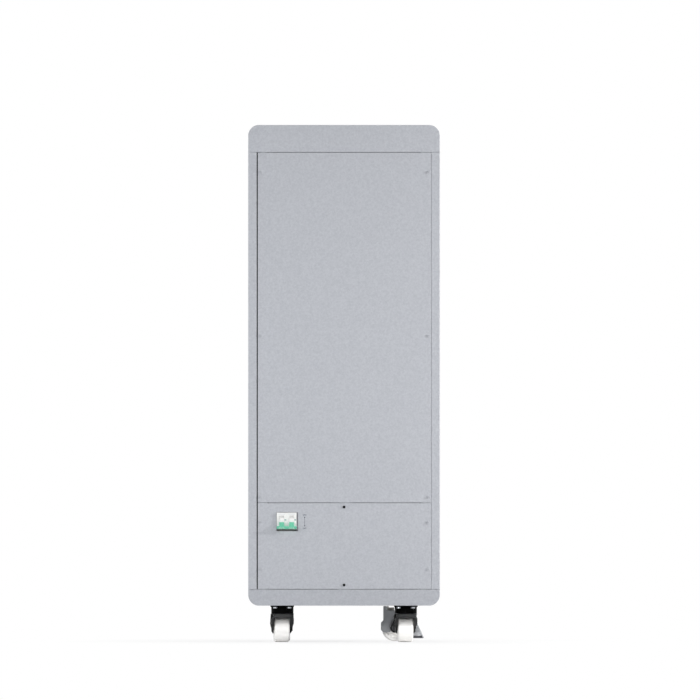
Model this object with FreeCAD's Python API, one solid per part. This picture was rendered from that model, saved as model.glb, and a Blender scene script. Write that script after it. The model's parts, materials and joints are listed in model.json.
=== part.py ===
import FreeCAD, Part
import math
import os

os.makedirs("parts", exist_ok=True)
V = FreeCAD.Vector

# Battery cabinet on four swivel casters, in millimetres.
# While it is modelled, x runs to the right, y = 0 is the outer face of the front covers with +y into
# the cabinet, and z = 0 is the floor. At the end all pieces shift along y to centre the bounding box.

# Cabinet outside
body_width = 520.0
body_depth = 400.0
caster_height = 100.0
base_height = 43.8
lower_cover_height = 233.6
cap_height = 73.7
corner_radius = 29.0
sheet = 2.0
bend_radius = 1.2
flange_width = 22.7
flange_lip = 10.0

# Open joints between the outside sheets
seam = 1.2
panel_seam = 0.6
left_gap = 3.2
right_gap = 0.5
return_depth = 12.0
return_clearance = 1.0
relief_radius = 1.6
panel_relief_inset = 10.0

# Frame
tube = 25.0
tube_wall = 2.0
tier_count = 4
first_tier_above_seam = 28.8
tier_pitch = 236.0
tier_headroom = 213.5
tab_width = 30.0
tab_overhang = 26.0
tab_clearance = 1.0
tab_thickness = 3.0
bracket_length = 40.0
bracket_spread = 90.0

# Screws
cover_screw_radius = 2.0
cover_screw_length = 10.0
side_head_radius = 4.0
side_head_height = 2.4
centre_head_radius = 3.7
head_rounding = 1.0
screw_inset = 3.0
end_screw_inset = 55.0
middle_screw_lift = 452.0
low_screw_lift = 14.5
lower_end_inset = 53.5
centre_inset = 11.0
hole_clearance = 0.25
seat_clearance = 0.05

# Cells and what clamps and joins them
cell_width = 174.0
cell_thickness = 71.5
cell_height = 200.0
cell_rounding = 3.0
cell_gap = 0.5
cell_rows = 4
post_side = 22.0
post_height = 4.0
post_offset = 60.0
busbar_thickness = 2.0
busbar_width = 26.0
shelf_sheet = 2.0
shelf_flange = 20.0
shelf_clearance = 1.0
end_plate_thickness = 8.0
end_plate_height = 180.0
rod_radius = 3.0
rod_clearance = 2.5
rod_inset = 30.0
nut_height = 5.0
rod_nut_radius = 5.7
rod_end = 2.0
link_thickness = 3.0
link_width = 22.0
link_standoff = 10.0
link_clearance = 3.0

# Breaker
pole_width = 27.0
pole_count = 2
nose_height = 45.0
nose_depth = 23.0
pole_height = 82.0
pole_depth = 66.0
nose_proud = 3.0
breaker_inset = 104.2
breaker_drop = 48.5
window_left_gap = 0.6
window_right_gap = 3.9
window_top_gap = 0.9
window_bottom_gap = 5.4
pole_gap = 0.1
nose_rounding = 1.5
shoulder_chamfer = 3.0
drum_radius = 11.5
drum_depth = 9.0
drum_half_width = 6.2
drum_clearance = 0.3
throw_angle = 42.0
slot_spread = 67.0
slot_half_height = 14.4
stem_width = 12.4
stem_root = 10.0
stem_tip = 6.0
stem_root_depth = 4.0
tie_radius_in = 24.6
tie_radius_out = 29.6
tie_half_height = 3.7
tie_rounding = 1.2
indicator_width = 5.4
indicator_height = 3.4
indicator_offset = 9.9
indicator_lift = 2.6
indicator_recess = 1.2
clamp_offset = 33.0
clamp_hole_radius = 4.0
clamp_side = 9.0
clamp_clearance = 0.4
clamp_screw_depth = 18.0
clamp_screw_recess = 3.0
rail_width = 35.0
rail_crown = 27.0
rail_sheet = 1.0
rail_height = 7.5
rail_overhang = 20.0
rail_slot_clearance = 0.2
rail_bite = 3.5
rail_end_trim = 8.0

# Plate that carries the breaker and the electronics
plate_side_inset = 60.0
plate_height = 262.0
plate_foot = 25.0
heatsink_gap = 15.0
heatsink_margin = 20.0
heatsink_height = 150.0
heatsink_lift = 60.0
heatsink_base = 5.0
fin_height = 20.0
fin_thickness = 2.5
fin_count = 9
board_gap = 13.8
board_width = 100.0
board_thickness = 1.6
standoff_radius = 3.0
standoff_length = 10.0
standoff_inset = 8.0
chip_side = 16.0
chip_height = 4.0
chip_count = 4
contactor_width = 64.0
contactor_height = 78.0
contactor_depth = 70.0
contactor_left = -60.0
contactor_lift = 60.0
contactor_rounding = 4.0
lug_radius = 5.0
lug_length = 14.0
fuse_length = 90.0
fuse_radius = 14.0
fuse_left = 40.0
fuse_standoff = 6.0
fuse_foot = 14.0

# Rear connections
terminal_spacing = 110.0
terminal_inset = 160.0
terminal_lift = 105.0
base_side = 46.0
terminal_base_height = 12.0
base_boss_radius = 12.0
base_boss_depth = 16.0
base_corner = 6.0
base_edge = 2.0
stud_radius = 4.0
stud_reach = 22.0
stud_inside = 18.0
stud_chamfer = 0.8
washer_radius = 8.0
washer_thickness = 1.6
stud_nut_radius = 7.5
stud_nut_height = 6.5
earth_lift = 50.0
earth_stud_radius = 3.0
earth_reach = 18.0
earth_inside = 3.0
earth_nut_radius = 5.75
earth_nut_height = 5.0
earth_washer_radius = 6.0
comm_inset = 120.0
comm_width = 44.0
comm_height = 24.0
comm_depth = 22.0
comm_lip = 2.0
comm_lip_thickness = 2.0
comm_lip_corner = 1.5
socket_width = 11.8
socket_height = 8.6
socket_depth = 13.0
socket_spacing = 20.0
latch_width = 6.0
latch_depth = 1.6
button_inset = 200.0
button_radius = 8.0
button_travel = 3.0
button_proud = 2.5
button_chamfer = 0.8
barrel_radius = 9.5
bezel_radius = 12.5
bezel_height = 2.5
barrel_depth = 24.0
barrel_nut_radius = 13.0
barrel_nut_height = 4.0
barrel_floor = 3.0

# Casters, in a local frame: u trails from the swivel axis to the wheel, v is along the axle
caster_side_inset = 92.0
caster_inset = 82.0
front_left_turn = 4.0
front_right_turn = 3.0
plate_x = 64.0
plate_y = 92.0
plate_thickness = 4.0
plate_corner = 8.0
bolt_spacing_x = 38.0
bolt_spacing_y = 70.0
bolt_radius = 3.0
bolt_head_radius = 5.8
bolt_head_height = 4.0
bolt_reach = 12.0
swivel_radius = 30.0
cup_wall = 2.5
cup_drop = 17.4
cup_roof = 3.0
cup_edge = 0.8
race_radius = 22.0
race_bore = 13.0
race_height = 10.0
bearing_gap = 0.3
kingpin_radius = 6.0
kingpin_head = 9.0
kingpin_head_height = 3.4
kingpin_gap = 0.6
running_clearance = 0.05
crown_top = 78.0
crown_thickness = 4.0
crown_lip = 10.0
crown_rounding = 2.0
crown_corner = 12.0
trail = 30.0
caster_reach = 75.0
wheel_radius = 35.0
tread_width = 41.0
hub_width = 43.0
hub_radius = 13.0
web_width = 30.0
rim_inner_radius = 26.0
shoulder = 4.5
web_draft = 2.0
leg_inner = 22.0
leg_thickness = 2.5
rim_width = 2.6
crown_half_width = 30.0
flare_half_width = 30.8
flare_z = 50.0
tip_half_width = 24.2
boss_radius = 12.0
crown_rear = 22.0
axle_radius = 5.0
axle_head_radius = 8.5
axle_head_height = 3.0

# Brakes of the rear casters
brake_u = -22.0
brake_z = 60.0
brake_pin_radius = 2.5
pin_proud = 1.0
brake_hub_radius = 6.0
brake_hub_half = 21.5
brake_ear_radius = 7.0
shoe_radius = 4.0
shoe_gap = 0.5
shoe_half = 9.0
blade_top_u = -29.0
blade_top_z = 52.0
blade_tip_u = -49.0
blade_tip_z = 8.0
blade_thickness = 3.0
neck_thickness = 4.0
blade_half = 17.0
blade_corner = 5.0
cheek_thickness = 1.6
cheek_inner_u = -18.0
cheek_top_z = 57.0
cheek_lift = 1.5
housing_wall = 1.6
housing_half = 24.5
housing_wheel_gap = 1.0
housing_fork_gap = 0.3
housing_near = 33.0
housing_far = 61.0
housing_bulge = 67.5
housing_top = 83.3
housing_lip_top = 95.2
housing_lip_near = 51.0
housing_low = 24.0
housing_rounding = 2.5

# Heights and places that follow from the sizes above
base_top = caster_height + base_height
lower_bottom = base_top + seam
lower_top = lower_bottom + lower_cover_height
upper_bottom = lower_top + seam
upper_cover_height = first_tier_above_seam + (tier_count - 1) * tier_pitch + tier_headroom
upper_top = upper_bottom + upper_cover_height
cap_bottom = upper_top + seam
total_height = cap_bottom + cap_height
half_width = body_width / 2
opening_half = half_width - flange_width
cover_left = -opening_half + left_gap
cover_right = opening_half - right_gap
post_outer = half_width - corner_radius
post_inner = post_outer - tube
return_half = post_inner - return_clearance
screw_x = post_outer - screw_inset
tray_floor = caster_height + sheet
cap_ceiling = total_height - sheet
ring_tops = [tray_floor + tube, lower_top + first_tier_above_seam, cap_ceiling]
tier_tops = [ring_tops[1] + n * tier_pitch for n in range(tier_count)]
mid_y = body_depth / 2
plate_y_front = pole_depth - nose_proud - rail_bite + rail_height
contact_y = plate_y_front + sheet
breaker_centre_x = breaker_inset - half_width
breaker_centre_z = lower_top - breaker_drop
plate_half_width = half_width - plate_side_inset
board_left = breaker_centre_x + pole_count * pole_width / 2 + rail_overhang + board_gap
heatsink_left = board_left + board_width + heatsink_gap
heatsink_width = plate_half_width - heatsink_margin - heatsink_left
terminal_x = terminal_inset - half_width
terminal_z = lower_bottom + terminal_lift
earth_x = terminal_x
earth_z = lower_bottom + earth_lift
comm_x = half_width - comm_inset
comm_z = terminal_z
button_x = half_width - button_inset
button_z = terminal_z
caster_x = half_width - caster_side_inset
wheel_centre_z = wheel_radius

# How far a cutting tool runs past the face it cuts, and the distance under which two values are equal
overshoot = 1.0
same = 1e-3


def box(x0, x1, y0, y1, z0, z1):
    return Part.makeBox(x1 - x0, y1 - y0, z1 - z0, V(x0, y0, z0))


def rod(radius, start, end):
    line = end.sub(start)
    return Part.makeCylinder(radius, line.Length, start, line)


def fuse(shapes):
    joined = shapes[0]
    for shape in shapes[1:]:
        joined = joined.fuse(shape)
    return joined.removeSplitter()


def cut(shape, tools):
    for tool in tools:
        shape = shape.cut(tool)
    return shape


def group(shapes):
    return Part.makeCompound(shapes)


def mirror_y(shape):
    return shape.mirror(V(0, mid_y, 0), V(0, 1, 0))


def mirror_x(shape):
    return shape.mirror(V(0, 0, 0), V(1, 0, 0))


def prism(points, direction):
    face = Part.Face(Part.makePolygon(points + points[:1]))
    return face.extrude(direction)


def hexagon(radius, base, height, axis):
    # Hexagonal head or nut around an axis along y or z
    points = []
    for step in range(6):
        turn = math.radians(60 * step)
        first = radius * math.cos(turn)
        second = radius * math.sin(turn)
        offset = V(first, 0, second) if axis.y else V(first, second, 0)
        points.append(base.add(offset))
    return prism(points, V(axis).multiply(height))


def edges_where(shape, test):
    found = []
    for edge in shape.Edges:
        ends = [vertex.Point for vertex in edge.Vertexes]
        if len(ends) == 2 and test(ends[0], ends[1]):
            found.append(edge)
    return found


def along(axis, a, b):
    line = b.sub(a)
    return near(abs(getattr(line, axis)), line.Length)


def near(value, target):
    return abs(value - target) < same


# Cabinet sheets

def wrap_outline(z_low, z_high, inset, top):
    # Slab with two rounded corners, at the top for the cap and at the bottom for the tray
    z0 = z_low if top else z_low + inset
    z1 = z_high - inset if top else z_high
    slab = box(-half_width + inset, half_width - inset, inset, body_depth - inset, z0, z1)
    rounded_z = z1 if top else z0
    edges = edges_where(slab, lambda a, b: along("y", a, b) and near(a.z, rounded_z))
    return slab.makeFillet(corner_radius - inset, edges)


def soften_face_outline(shell, z_open):
    # Small bend radius round the front and back faces, away from the open edge
    def on_face(a, b):
        face_y = near(a.y, b.y) and (near(a.y, 0) or near(a.y, body_depth))
        outside = max(abs(a.x), abs(b.x)) > half_width - corner_radius - overshoot
        return face_y and outside and not (near(a.z, z_open) and near(b.z, z_open))
    return shell.makeFillet(bend_radius, edges_where(shell, on_face))


def relief(x, z):
    return rod(relief_radius, V(x, -overshoot, z), V(x, sheet + overshoot, z))


def make_top_cap():
    outer = soften_face_outline(wrap_outline(cap_bottom, total_height, 0, True), cap_bottom)
    shell = outer.cut(wrap_outline(cap_bottom - overshoot, total_height, sheet, True))
    lip = box(-return_half, return_half, sheet, return_depth, cap_bottom, cap_bottom + sheet)
    return fuse([shell, lip, mirror_y(lip)])


def make_base_tray():
    outer = soften_face_outline(wrap_outline(caster_height, base_top, 0, False), base_top)
    shell = outer.cut(wrap_outline(caster_height, base_top + overshoot, sheet, False))
    lip = box(-return_half, return_half, sheet, return_depth, base_top - sheet, base_top)
    tray = fuse([shell, lip, mirror_y(lip)])
    notches = []
    for side in (-1, 1):
        notch = relief(side * (half_width - panel_relief_inset), base_top)
        notches += [notch, mirror_y(notch)]
    for space in tab_boxes(tab_clearance):
        notches += [space, mirror_y(space)]
    holes = []
    for x, y in bolt_places():
        start = V(x, y, caster_height - overshoot)
        holes.append(rod(bolt_radius + 2 * hole_clearance, start, V(x, y, tray_floor + overshoot)))
    return cut(tray, notches + holes)


def make_side_panel():
    # Right-hand panel: outer wall, two face flanges and their inner lips
    z0 = base_top + panel_seam
    z1 = cap_bottom - panel_seam
    wall = box(half_width - sheet, half_width, 0, body_depth, z0, z1)
    flange = box(opening_half, half_width, 0, sheet, z0, z1)
    lip = box(opening_half, opening_half + sheet, 0, flange_lip, z0, z1)
    panel = fuse([wall, flange, lip, mirror_y(flange), mirror_y(lip)])

    def outer_corner(a, b):
        face_y = near(a.y, 0) or near(a.y, body_depth)
        return along("z", a, b) and face_y and (near(a.x, half_width) or near(a.x, opening_half))
    return panel.makeFillet(bend_radius, edges_where(panel, outer_corner))


def make_cover(z0, z1):
    # Flat cover with a return at its top and bottom, as wide as the space between the posts
    face = box(cover_left, cover_right, 0, sheet, z0, z1)
    low = box(-return_half, return_half, sheet, return_depth, z0, z0 + sheet)
    high = box(-return_half, return_half, sheet, return_depth, z1 - sheet, z1)
    cover = fuse([face, low, high])
    front = edges_where(cover, lambda a, b: near(a.y, 0) and near(b.y, 0))
    cover = cover.makeFillet(bend_radius / 2, front)
    notches = []
    for side in (-1, 1):
        for z in (z0, z1):
            notches.append(relief(side * post_inner, z))
    return cut(cover, notches + tab_boxes(tab_clearance))


def screw_levels():
    upper = [upper_top - end_screw_inset, upper_bottom + middle_screw_lift, upper_bottom + low_screw_lift]
    lower = [lower_top - lower_end_inset, lower_bottom + lower_end_inset]
    return upper, lower


def screw_hole(x, z, radius):
    return rod(radius, V(x, -overshoot, z), V(x, cover_screw_length + overshoot, z))


def side_screw_holes(levels, radius):
    return [screw_hole(side * screw_x, z, radius) for side in (-1, 1) for z in levels]


def centre_levels():
    return [lower_top - centre_inset, lower_bottom + centre_inset]


def centre_holes(radius):
    return [screw_hole(0, z, radius) for z in centre_levels()]


def tab_boxes(clearance):
    # Frame tabs behind the centre screws, or the space that the sheets' returns leave for them
    half = tab_width / 2 + clearance
    y1 = sheet + tab_thickness + clearance
    hang = ring_tops[1] - tube
    stand = ring_tops[0]
    return [box(-half, half, sheet, y1, hang - tab_overhang - clearance, hang),
            box(-half, half, sheet, y1, stand, lower_bottom + tab_overhang + clearance)]


def pan_screw(x, z, head_radius, head_height):
    head = Part.makeCylinder(head_radius, head_height, V(x, -head_height, z), V(0, 1, 0))
    rim = [edge for edge in head.Edges if near(edge.BoundBox.YMax, -head_height)]
    head = head.makeChamfer(head_rounding, rim)
    return fuse([head, rod(cover_screw_radius, V(x, 0, z), V(x, cover_screw_length, z))])


def make_side_screws():
    upper, lower = screw_levels()
    screws = []
    for side in (-1, 1):
        for z in upper + lower:
            screws.append(pan_screw(side * screw_x, z, side_head_radius, side_head_height))
    return group(screws)


def make_centre_screws():
    return group([pan_screw(0, z, centre_head_radius, side_head_height) for z in centre_levels()])


def window_box():
    half = pole_count * pole_width / 2
    x0 = breaker_centre_x - half - window_left_gap
    x1 = breaker_centre_x + half + window_right_gap
    top = breaker_centre_z + nose_height / 2 + window_top_gap
    bottom = breaker_centre_z - nose_height / 2 - window_bottom_gap
    return box(x0, x1, -overshoot, sheet + overshoot, bottom, top)


def make_upper_cover():
    upper, lower = screw_levels()
    holes = side_screw_holes(upper, cover_screw_radius + hole_clearance)
    return cut(make_cover(upper_bottom, upper_top), holes)


def plain_lower_cover():
    upper, lower = screw_levels()
    holes = side_screw_holes(lower, cover_screw_radius + hole_clearance)
    holes += centre_holes(cover_screw_radius + hole_clearance)
    return cut(make_cover(lower_bottom, lower_top), holes)


def make_lower_cover():
    return plain_lower_cover().cut(window_box())


def make_back_lower_cover():
    cover = mirror_y(plain_lower_cover())
    y0 = body_depth - sheet - overshoot
    y1 = body_depth + overshoot
    holes = []
    for x in terminal_places():
        radius = base_boss_radius + hole_clearance
        holes.append(rod(radius, V(x, y0, terminal_z), V(x, y1, terminal_z)))
    earth_hole = earth_stud_radius + seat_clearance
    holes.append(rod(earth_hole, V(earth_x, y0, earth_z), V(earth_x, y1, earth_z)))
    holes.append(rod(barrel_radius + hole_clearance, V(button_x, y0, button_z), V(button_x, y1, button_z)))
    half = comm_width / 2 + hole_clearance
    high = comm_height / 2 + hole_clearance
    holes.append(box(comm_x - half, comm_x + half, y0, y1, comm_z - high, comm_z + high))
    return cut(cover, holes)


# Frame

def tube_x(x0, x1, y0, z_top):
    outer = box(x0, x1, y0, y0 + tube, z_top - tube, z_top)
    hollow = box(x0, x1, y0 + tube_wall, y0 + tube - tube_wall, z_top - tube + tube_wall, z_top - tube_wall)
    return outer.cut(hollow)


def tube_y(x0, y0, y1, z_top):
    outer = box(x0, x0 + tube, y0, y1, z_top - tube, z_top)
    hollow = box(x0 + tube_wall, x0 + tube - tube_wall, y0, y1, z_top - tube + tube_wall, z_top - tube_wall)
    return outer.cut(hollow)


def make_corner_posts():
    outer = box(post_inner, post_outer, sheet, sheet + tube, tray_floor, cap_ceiling)
    hollow = box(post_inner + tube_wall, post_outer - tube_wall, sheet + tube_wall,
                 sheet + tube - tube_wall, tray_floor, cap_ceiling)
    upper, lower = screw_levels()
    holes = [screw_hole(screw_x, z, cover_screw_radius + seat_clearance) for z in upper + lower]
    post = cut(outer.cut(hollow), holes)
    return group([post, mirror_x(post), mirror_y(post), mirror_y(mirror_x(post))])


def make_frame_rails():
    rails = []
    side_levels = sorted(set(ring_tops + tier_tops))
    for z in side_levels:
        rail = tube_y(post_inner, sheet + tube, body_depth - sheet - tube, z)
        rails += [rail, mirror_x(rail)]
    for z in ring_tops:
        rail = tube_x(-post_inner, post_inner, sheet, z)
        rails += [rail, mirror_y(rail)]
    return group(rails)


def make_frame_brackets():
    # Channels between the side rails and the side panels, and tabs for the centre screws
    brackets = []
    for z in tier_tops:
        for y in (mid_y - bracket_spread, mid_y + bracket_spread):
            y0 = y - bracket_length / 2
            y1 = y + bracket_length / 2
            outer = box(post_outer, half_width - sheet, y0, y1, z - tube, z)
            hollow = box(post_outer + tube_wall, half_width - sheet - tube_wall, y0, y1,
                         z - tube, z - tube_wall)
            bracket = outer.cut(hollow)
            brackets += [bracket, mirror_x(bracket)]
    for tab, hole in zip(tab_boxes(0), centre_holes(cover_screw_radius + seat_clearance)):
        tab = tab.cut(hole)
        brackets += [tab, mirror_y(tab)]
    return group(brackets)


# Cell stack

def cell_rows_y():
    pitch = cell_thickness + cell_gap
    first = mid_y - pitch * (cell_rows - 1) / 2
    return [first + n * pitch for n in range(cell_rows)]


def make_shelf(z):
    y0 = sheet + tube + shelf_clearance
    y1 = body_depth - y0
    half = post_outer - shelf_clearance
    plate = box(-half, half, y0, y1, z, z + shelf_sheet)
    inner = post_inner - shelf_clearance
    flange = box(-inner, inner, y0, y0 + shelf_sheet, z - shelf_flange, z)
    shelf = fuse([plate, flange, mirror_y(flange)])
    return shelf.cut(link_space(z))


def link_space(z):
    # Gap at the front edge of a shelf where the links between tiers pass
    left, right = cell_columns_x()
    half = (right - left) / 2 - post_offset + link_width / 2 + link_clearance
    y1 = stack_front() - link_standoff + link_clearance
    return box(-half, half, 0, y1, z - shelf_flange - overshoot, z + shelf_sheet + overshoot)


def make_cell():
    # Prismatic cell standing on z = 0 with its centre on the z axis
    can = box(-cell_width / 2, cell_width / 2, -cell_thickness / 2, cell_thickness / 2, 0, cell_height)
    can = can.makeFillet(cell_rounding, edges_where(can, lambda a, b: along("z", a, b)))
    posts = []
    for side in (-1, 1):
        x = side * post_offset
        posts.append(box(x - post_side / 2, x + post_side / 2, -post_side / 2, post_side / 2,
                         cell_height, cell_height + post_height))
    return fuse([can] + posts)


def cell_columns_x():
    offset = (cell_width + cell_gap) / 2
    return (-offset, offset)


def make_cell_tier(z):
    cells = []
    for x in cell_columns_x():
        for y in cell_rows_y():
            cells.append(make_cell().translated(V(x, y, z + shelf_sheet)))
    return group(cells)


def busbar_z(z):
    return z + shelf_sheet + cell_height + post_height


def make_busbars():
    bars = []
    left, right = cell_columns_x()
    rows = cell_rows_y()
    reach = busbar_width / 2
    for tier in tier_tops:
        z0 = busbar_z(tier)
        z1 = z0 + busbar_thickness
        for x in (left - post_offset, right + post_offset):
            bars.append(box(x - reach, x + reach, rows[0] - reach, rows[-1] + reach, z0, z1))
        inner_left = left + post_offset
        inner_right = right - post_offset
        bars.append(box(inner_left - reach, inner_right + reach, rows[2] - reach, rows[-1] + reach, z0, z1))
        for x, start in ((inner_left, rows[0]), (inner_right, rows[0])):
            bars.append(box(x - reach, x + reach, start - reach, rows[1] + reach, z0, z1))
    return group(bars)


def stack_front():
    return cell_rows_y()[0] - cell_thickness / 2


def rod_x():
    return cell_width + cell_gap / 2 + rod_radius + rod_clearance


def make_end_plates():
    plates = []
    half = rod_x() + rod_radius + rod_clearance
    for tier in tier_tops:
        z0 = tier + shelf_sheet
        y1 = stack_front()
        front = box(-half, half, y1 - end_plate_thickness, y1, z0, z0 + end_plate_height)
        holes = []
        for x, z in rod_places(tier):
            start = V(x, stack_front() - end_plate_thickness - overshoot, z)
            holes.append(rod(rod_radius + seat_clearance, start, V(x, stack_front() + overshoot, z)))
        front = cut(front, holes)
        plates += [front, mirror_y(front)]
    return group(plates)


def rod_places(tier):
    z0 = tier + shelf_sheet
    levels = (z0 + rod_inset, z0 + end_plate_height - rod_inset)
    return [(side * rod_x(), z) for side in (-1, 1) for z in levels]


def make_tie_rods():
    rods = []
    y0 = stack_front() - end_plate_thickness
    for tier in tier_tops:
        for x, z in rod_places(tier):
            shank = rod(rod_radius, V(x, y0 - nut_height - rod_end, z),
                        V(x, body_depth - y0 + nut_height + rod_end, z))
            nut = hexagon(rod_nut_radius, V(x, y0 - nut_height, z), nut_height, V(0, 1, 0))
            rods.append(fuse([shank, nut, mirror_y(nut)]))
    return group(rods)


def make_tier_links():
    # Flat bars in front of the stack, from one tier's output to the next tier's input
    left, right = cell_columns_x()
    x_out = right - post_offset
    x_in = left + post_offset
    front = stack_front() - link_standoff - link_thickness
    links = []
    for low, high in zip(tier_tops[:-1], tier_tops[1:]):
        z0 = busbar_z(low) + busbar_thickness
        z1 = busbar_z(high) + busbar_thickness
        reach = link_width / 2
        turn = z0 + (z1 - z0) / 2
        riser = box(x_out - reach, x_out + reach, front, front + link_thickness, z0, turn)
        bridge = box(x_in - reach, x_out + reach, front, front + link_thickness, turn, turn + link_width)
        rise_on = box(x_in - reach, x_in + reach, front, front + link_thickness, turn, z1 + link_thickness)
        foot_end = cell_rows_y()[0] + reach
        foot = box(x_out - reach, x_out + reach, front, foot_end, z0, z0 + link_thickness)
        head = box(x_in - reach, x_in + reach, front, foot_end, z1, z1 + link_thickness)
        links.append(fuse([riser, bridge, rise_on, foot, head]))
    return group(links)


# Breaker

def yz_prism(points, x0, x1):
    return prism([V(x0, y, z) for y, z in points], V(x1 - x0, 0, 0))


def pole_centres():
    first = breaker_centre_x - pole_width * (pole_count - 1) / 2
    return [first + n * pole_width for n in range(pole_count)]


def drum_centre(x):
    return V(x, -nose_proud + drum_depth, breaker_centre_z)


def swing(shape, angle):
    centre = drum_centre(0)
    return shape.rotated(centre, V(1, 0, 0), angle)


def make_pole(x):
    # Side profile of a rail-mounted breaker pole, extruded to its width and hollowed where things fit
    half_nose = nose_height / 2
    half_body = pole_height / 2
    back = pole_depth
    slot = rail_width / 2 + rail_slot_clearance
    shoulder_y = nose_depth + shoulder_chamfer
    upper = [(0, half_nose), (nose_depth, half_nose), (nose_depth, half_body - shoulder_chamfer),
             (shoulder_y, half_body), (back, half_body), (back, slot), (back - rail_bite, slot)]
    lower = [(y, -z) for y, z in reversed(upper)]
    profile = upper + lower
    points = [(y - nose_proud, z + breaker_centre_z) for y, z in profile]
    half = pole_width / 2 - pole_gap / 2
    body = yz_prism(points, x - half, x + half)

    def nose_edge(a, b):
        return near(a.y, -nose_proud) and near(b.y, -nose_proud) and along("x", a, b)
    body = body.makeFillet(nose_rounding, edges_where(body, nose_edge))
    centre = drum_centre(x)
    half_slot = drum_half_width + drum_clearance
    left = centre.add(V(-half_slot, 0, 0))
    right = centre.add(V(half_slot, 0, 0))
    cavity = rod(drum_radius + drum_clearance, left, right)
    spread = slot_half_height / math.tan(math.radians(slot_spread))
    mouth = centre.y - drum_depth - overshoot
    low = centre.z - slot_half_height
    high = centre.z + slot_half_height
    wedge = yz_prism([(centre.y, centre.z), (centre.y - spread, low), (mouth, low), (mouth, high),
                      (centre.y - spread, high)], x - half_slot, x + half_slot)
    sight_x = x + indicator_offset
    sight_z = breaker_centre_z + indicator_lift
    sight = box(sight_x - indicator_width / 2, sight_x + indicator_width / 2, -nose_proud - overshoot,
                -nose_proud + indicator_recess, sight_z - indicator_height / 2,
                sight_z + indicator_height / 2)
    tools = [cavity, wedge, sight]
    for side in (-1, 1):
        z = breaker_centre_z + side * clamp_offset
        start = V(x, nose_depth - nose_proud - overshoot, z)
        tools.append(rod(clamp_hole_radius, start, V(x, clamp_back(), z)))
        tools.append(clamp_pocket(x, side))
    return cut(body, tools)


def clamp_back():
    return nose_depth - nose_proud + clamp_screw_depth


def clamp_pocket(x, side):
    half = clamp_side / 2 + clamp_clearance
    inner = breaker_centre_z + side * (clamp_offset - half)
    outer = breaker_centre_z + side * (pole_height / 2 + overshoot)
    y0 = clamp_back()
    return box(x - half, x + half, y0, y0 + 2 * half, min(inner, outer), max(inner, outer))


def make_breaker_clamps():
    clamps = []
    for x in pole_centres():
        for side in (-1, 1):
            z = breaker_centre_z + side * clamp_offset
            y0 = clamp_back() + clamp_clearance
            half = clamp_side / 2
            cage = box(x - half, x + half, y0, y0 + clamp_side, z - half, z + half)
            start = V(x, nose_depth - nose_proud + clamp_screw_recess, z)
            screw = rod(clamp_hole_radius - clamp_clearance, start, V(x, y0, z))
            clamps.append(fuse([cage, screw]))
    return group(clamps)


def make_breaker_drums():
    drums = []
    for x in pole_centres():
        centre = drum_centre(x)
        drum = rod(drum_radius, centre.add(V(-drum_half_width, 0, 0)), centre.add(V(drum_half_width, 0, 0)))
        drums.append(drum.cut(toggle_stem(x)))
    return group(drums)


def toggle_stem(x):
    # Tapered stem at the OFF position, from inside the drum out to the tie bar
    centre = drum_centre(x)
    inner = drum_radius - stem_root_depth
    outer = tie_radius_in
    points = [(centre.y - inner, centre.z - stem_root / 2), (centre.y - inner, centre.z + stem_root / 2),
              (centre.y - outer, centre.z + stem_tip / 2), (centre.y - outer, centre.z - stem_tip / 2)]
    return swing(yz_prism(points, x - stem_width / 2, x + stem_width / 2), throw_angle)


def make_breaker_toggle():
    centre = drum_centre(breaker_centre_x)
    half = pole_count * pole_width / 2
    tie = box(breaker_centre_x - half, breaker_centre_x + half, centre.y - tie_radius_out,
              centre.y - tie_radius_in, centre.z - tie_half_height, centre.z + tie_half_height)
    tie = tie.makeFillet(tie_rounding, tie.Edges)
    tie = swing(tie, throw_angle)
    return fuse([toggle_stem(x) for x in pole_centres()] + [tie])


def make_din_rail():
    half = pole_count * pole_width / 2 + rail_overhang
    y0 = pole_depth - nose_proud - rail_bite
    wide = rail_width / 2
    crown = rail_crown / 2
    profile = [(y0, -wide), (y0, -crown + rail_sheet), (y0 + rail_height - rail_sheet, -crown + rail_sheet),
               (y0 + rail_height - rail_sheet, crown - rail_sheet), (y0, crown - rail_sheet), (y0, wide),
               (y0 + rail_sheet, wide), (y0 + rail_sheet, crown), (y0 + rail_height, crown),
               (y0 + rail_height, -crown), (y0 + rail_sheet, -crown), (y0 + rail_sheet, -wide)]
    points = [(y, z + breaker_centre_z) for y, z in profile]
    return yz_prism(points, breaker_centre_x - half + rail_end_trim, breaker_centre_x + half)


# Component plate and electronics

def make_component_plate():
    y0 = plate_y_front
    wall = box(-plate_half_width, plate_half_width, y0, y0 + sheet, tray_floor, tray_floor + plate_height)
    foot = box(-plate_half_width, plate_half_width, y0, y0 + plate_foot, tray_floor, tray_floor + sheet)
    return fuse([wall, foot])


def make_heatsink():
    z0 = tray_floor + heatsink_lift
    x0 = heatsink_left
    y1 = plate_y_front
    base = box(x0, x0 + heatsink_width, y1 - heatsink_base, y1, z0, z0 + heatsink_height)
    pitch = (heatsink_width - fin_thickness) / (fin_count - 1)
    fins = []
    for n in range(fin_count):
        x = x0 + n * pitch
        fins.append(box(x, x + fin_thickness, y1 - heatsink_base - fin_height,
                        y1 - heatsink_base, z0, z0 + heatsink_height))
    return fuse([base] + fins)


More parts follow.
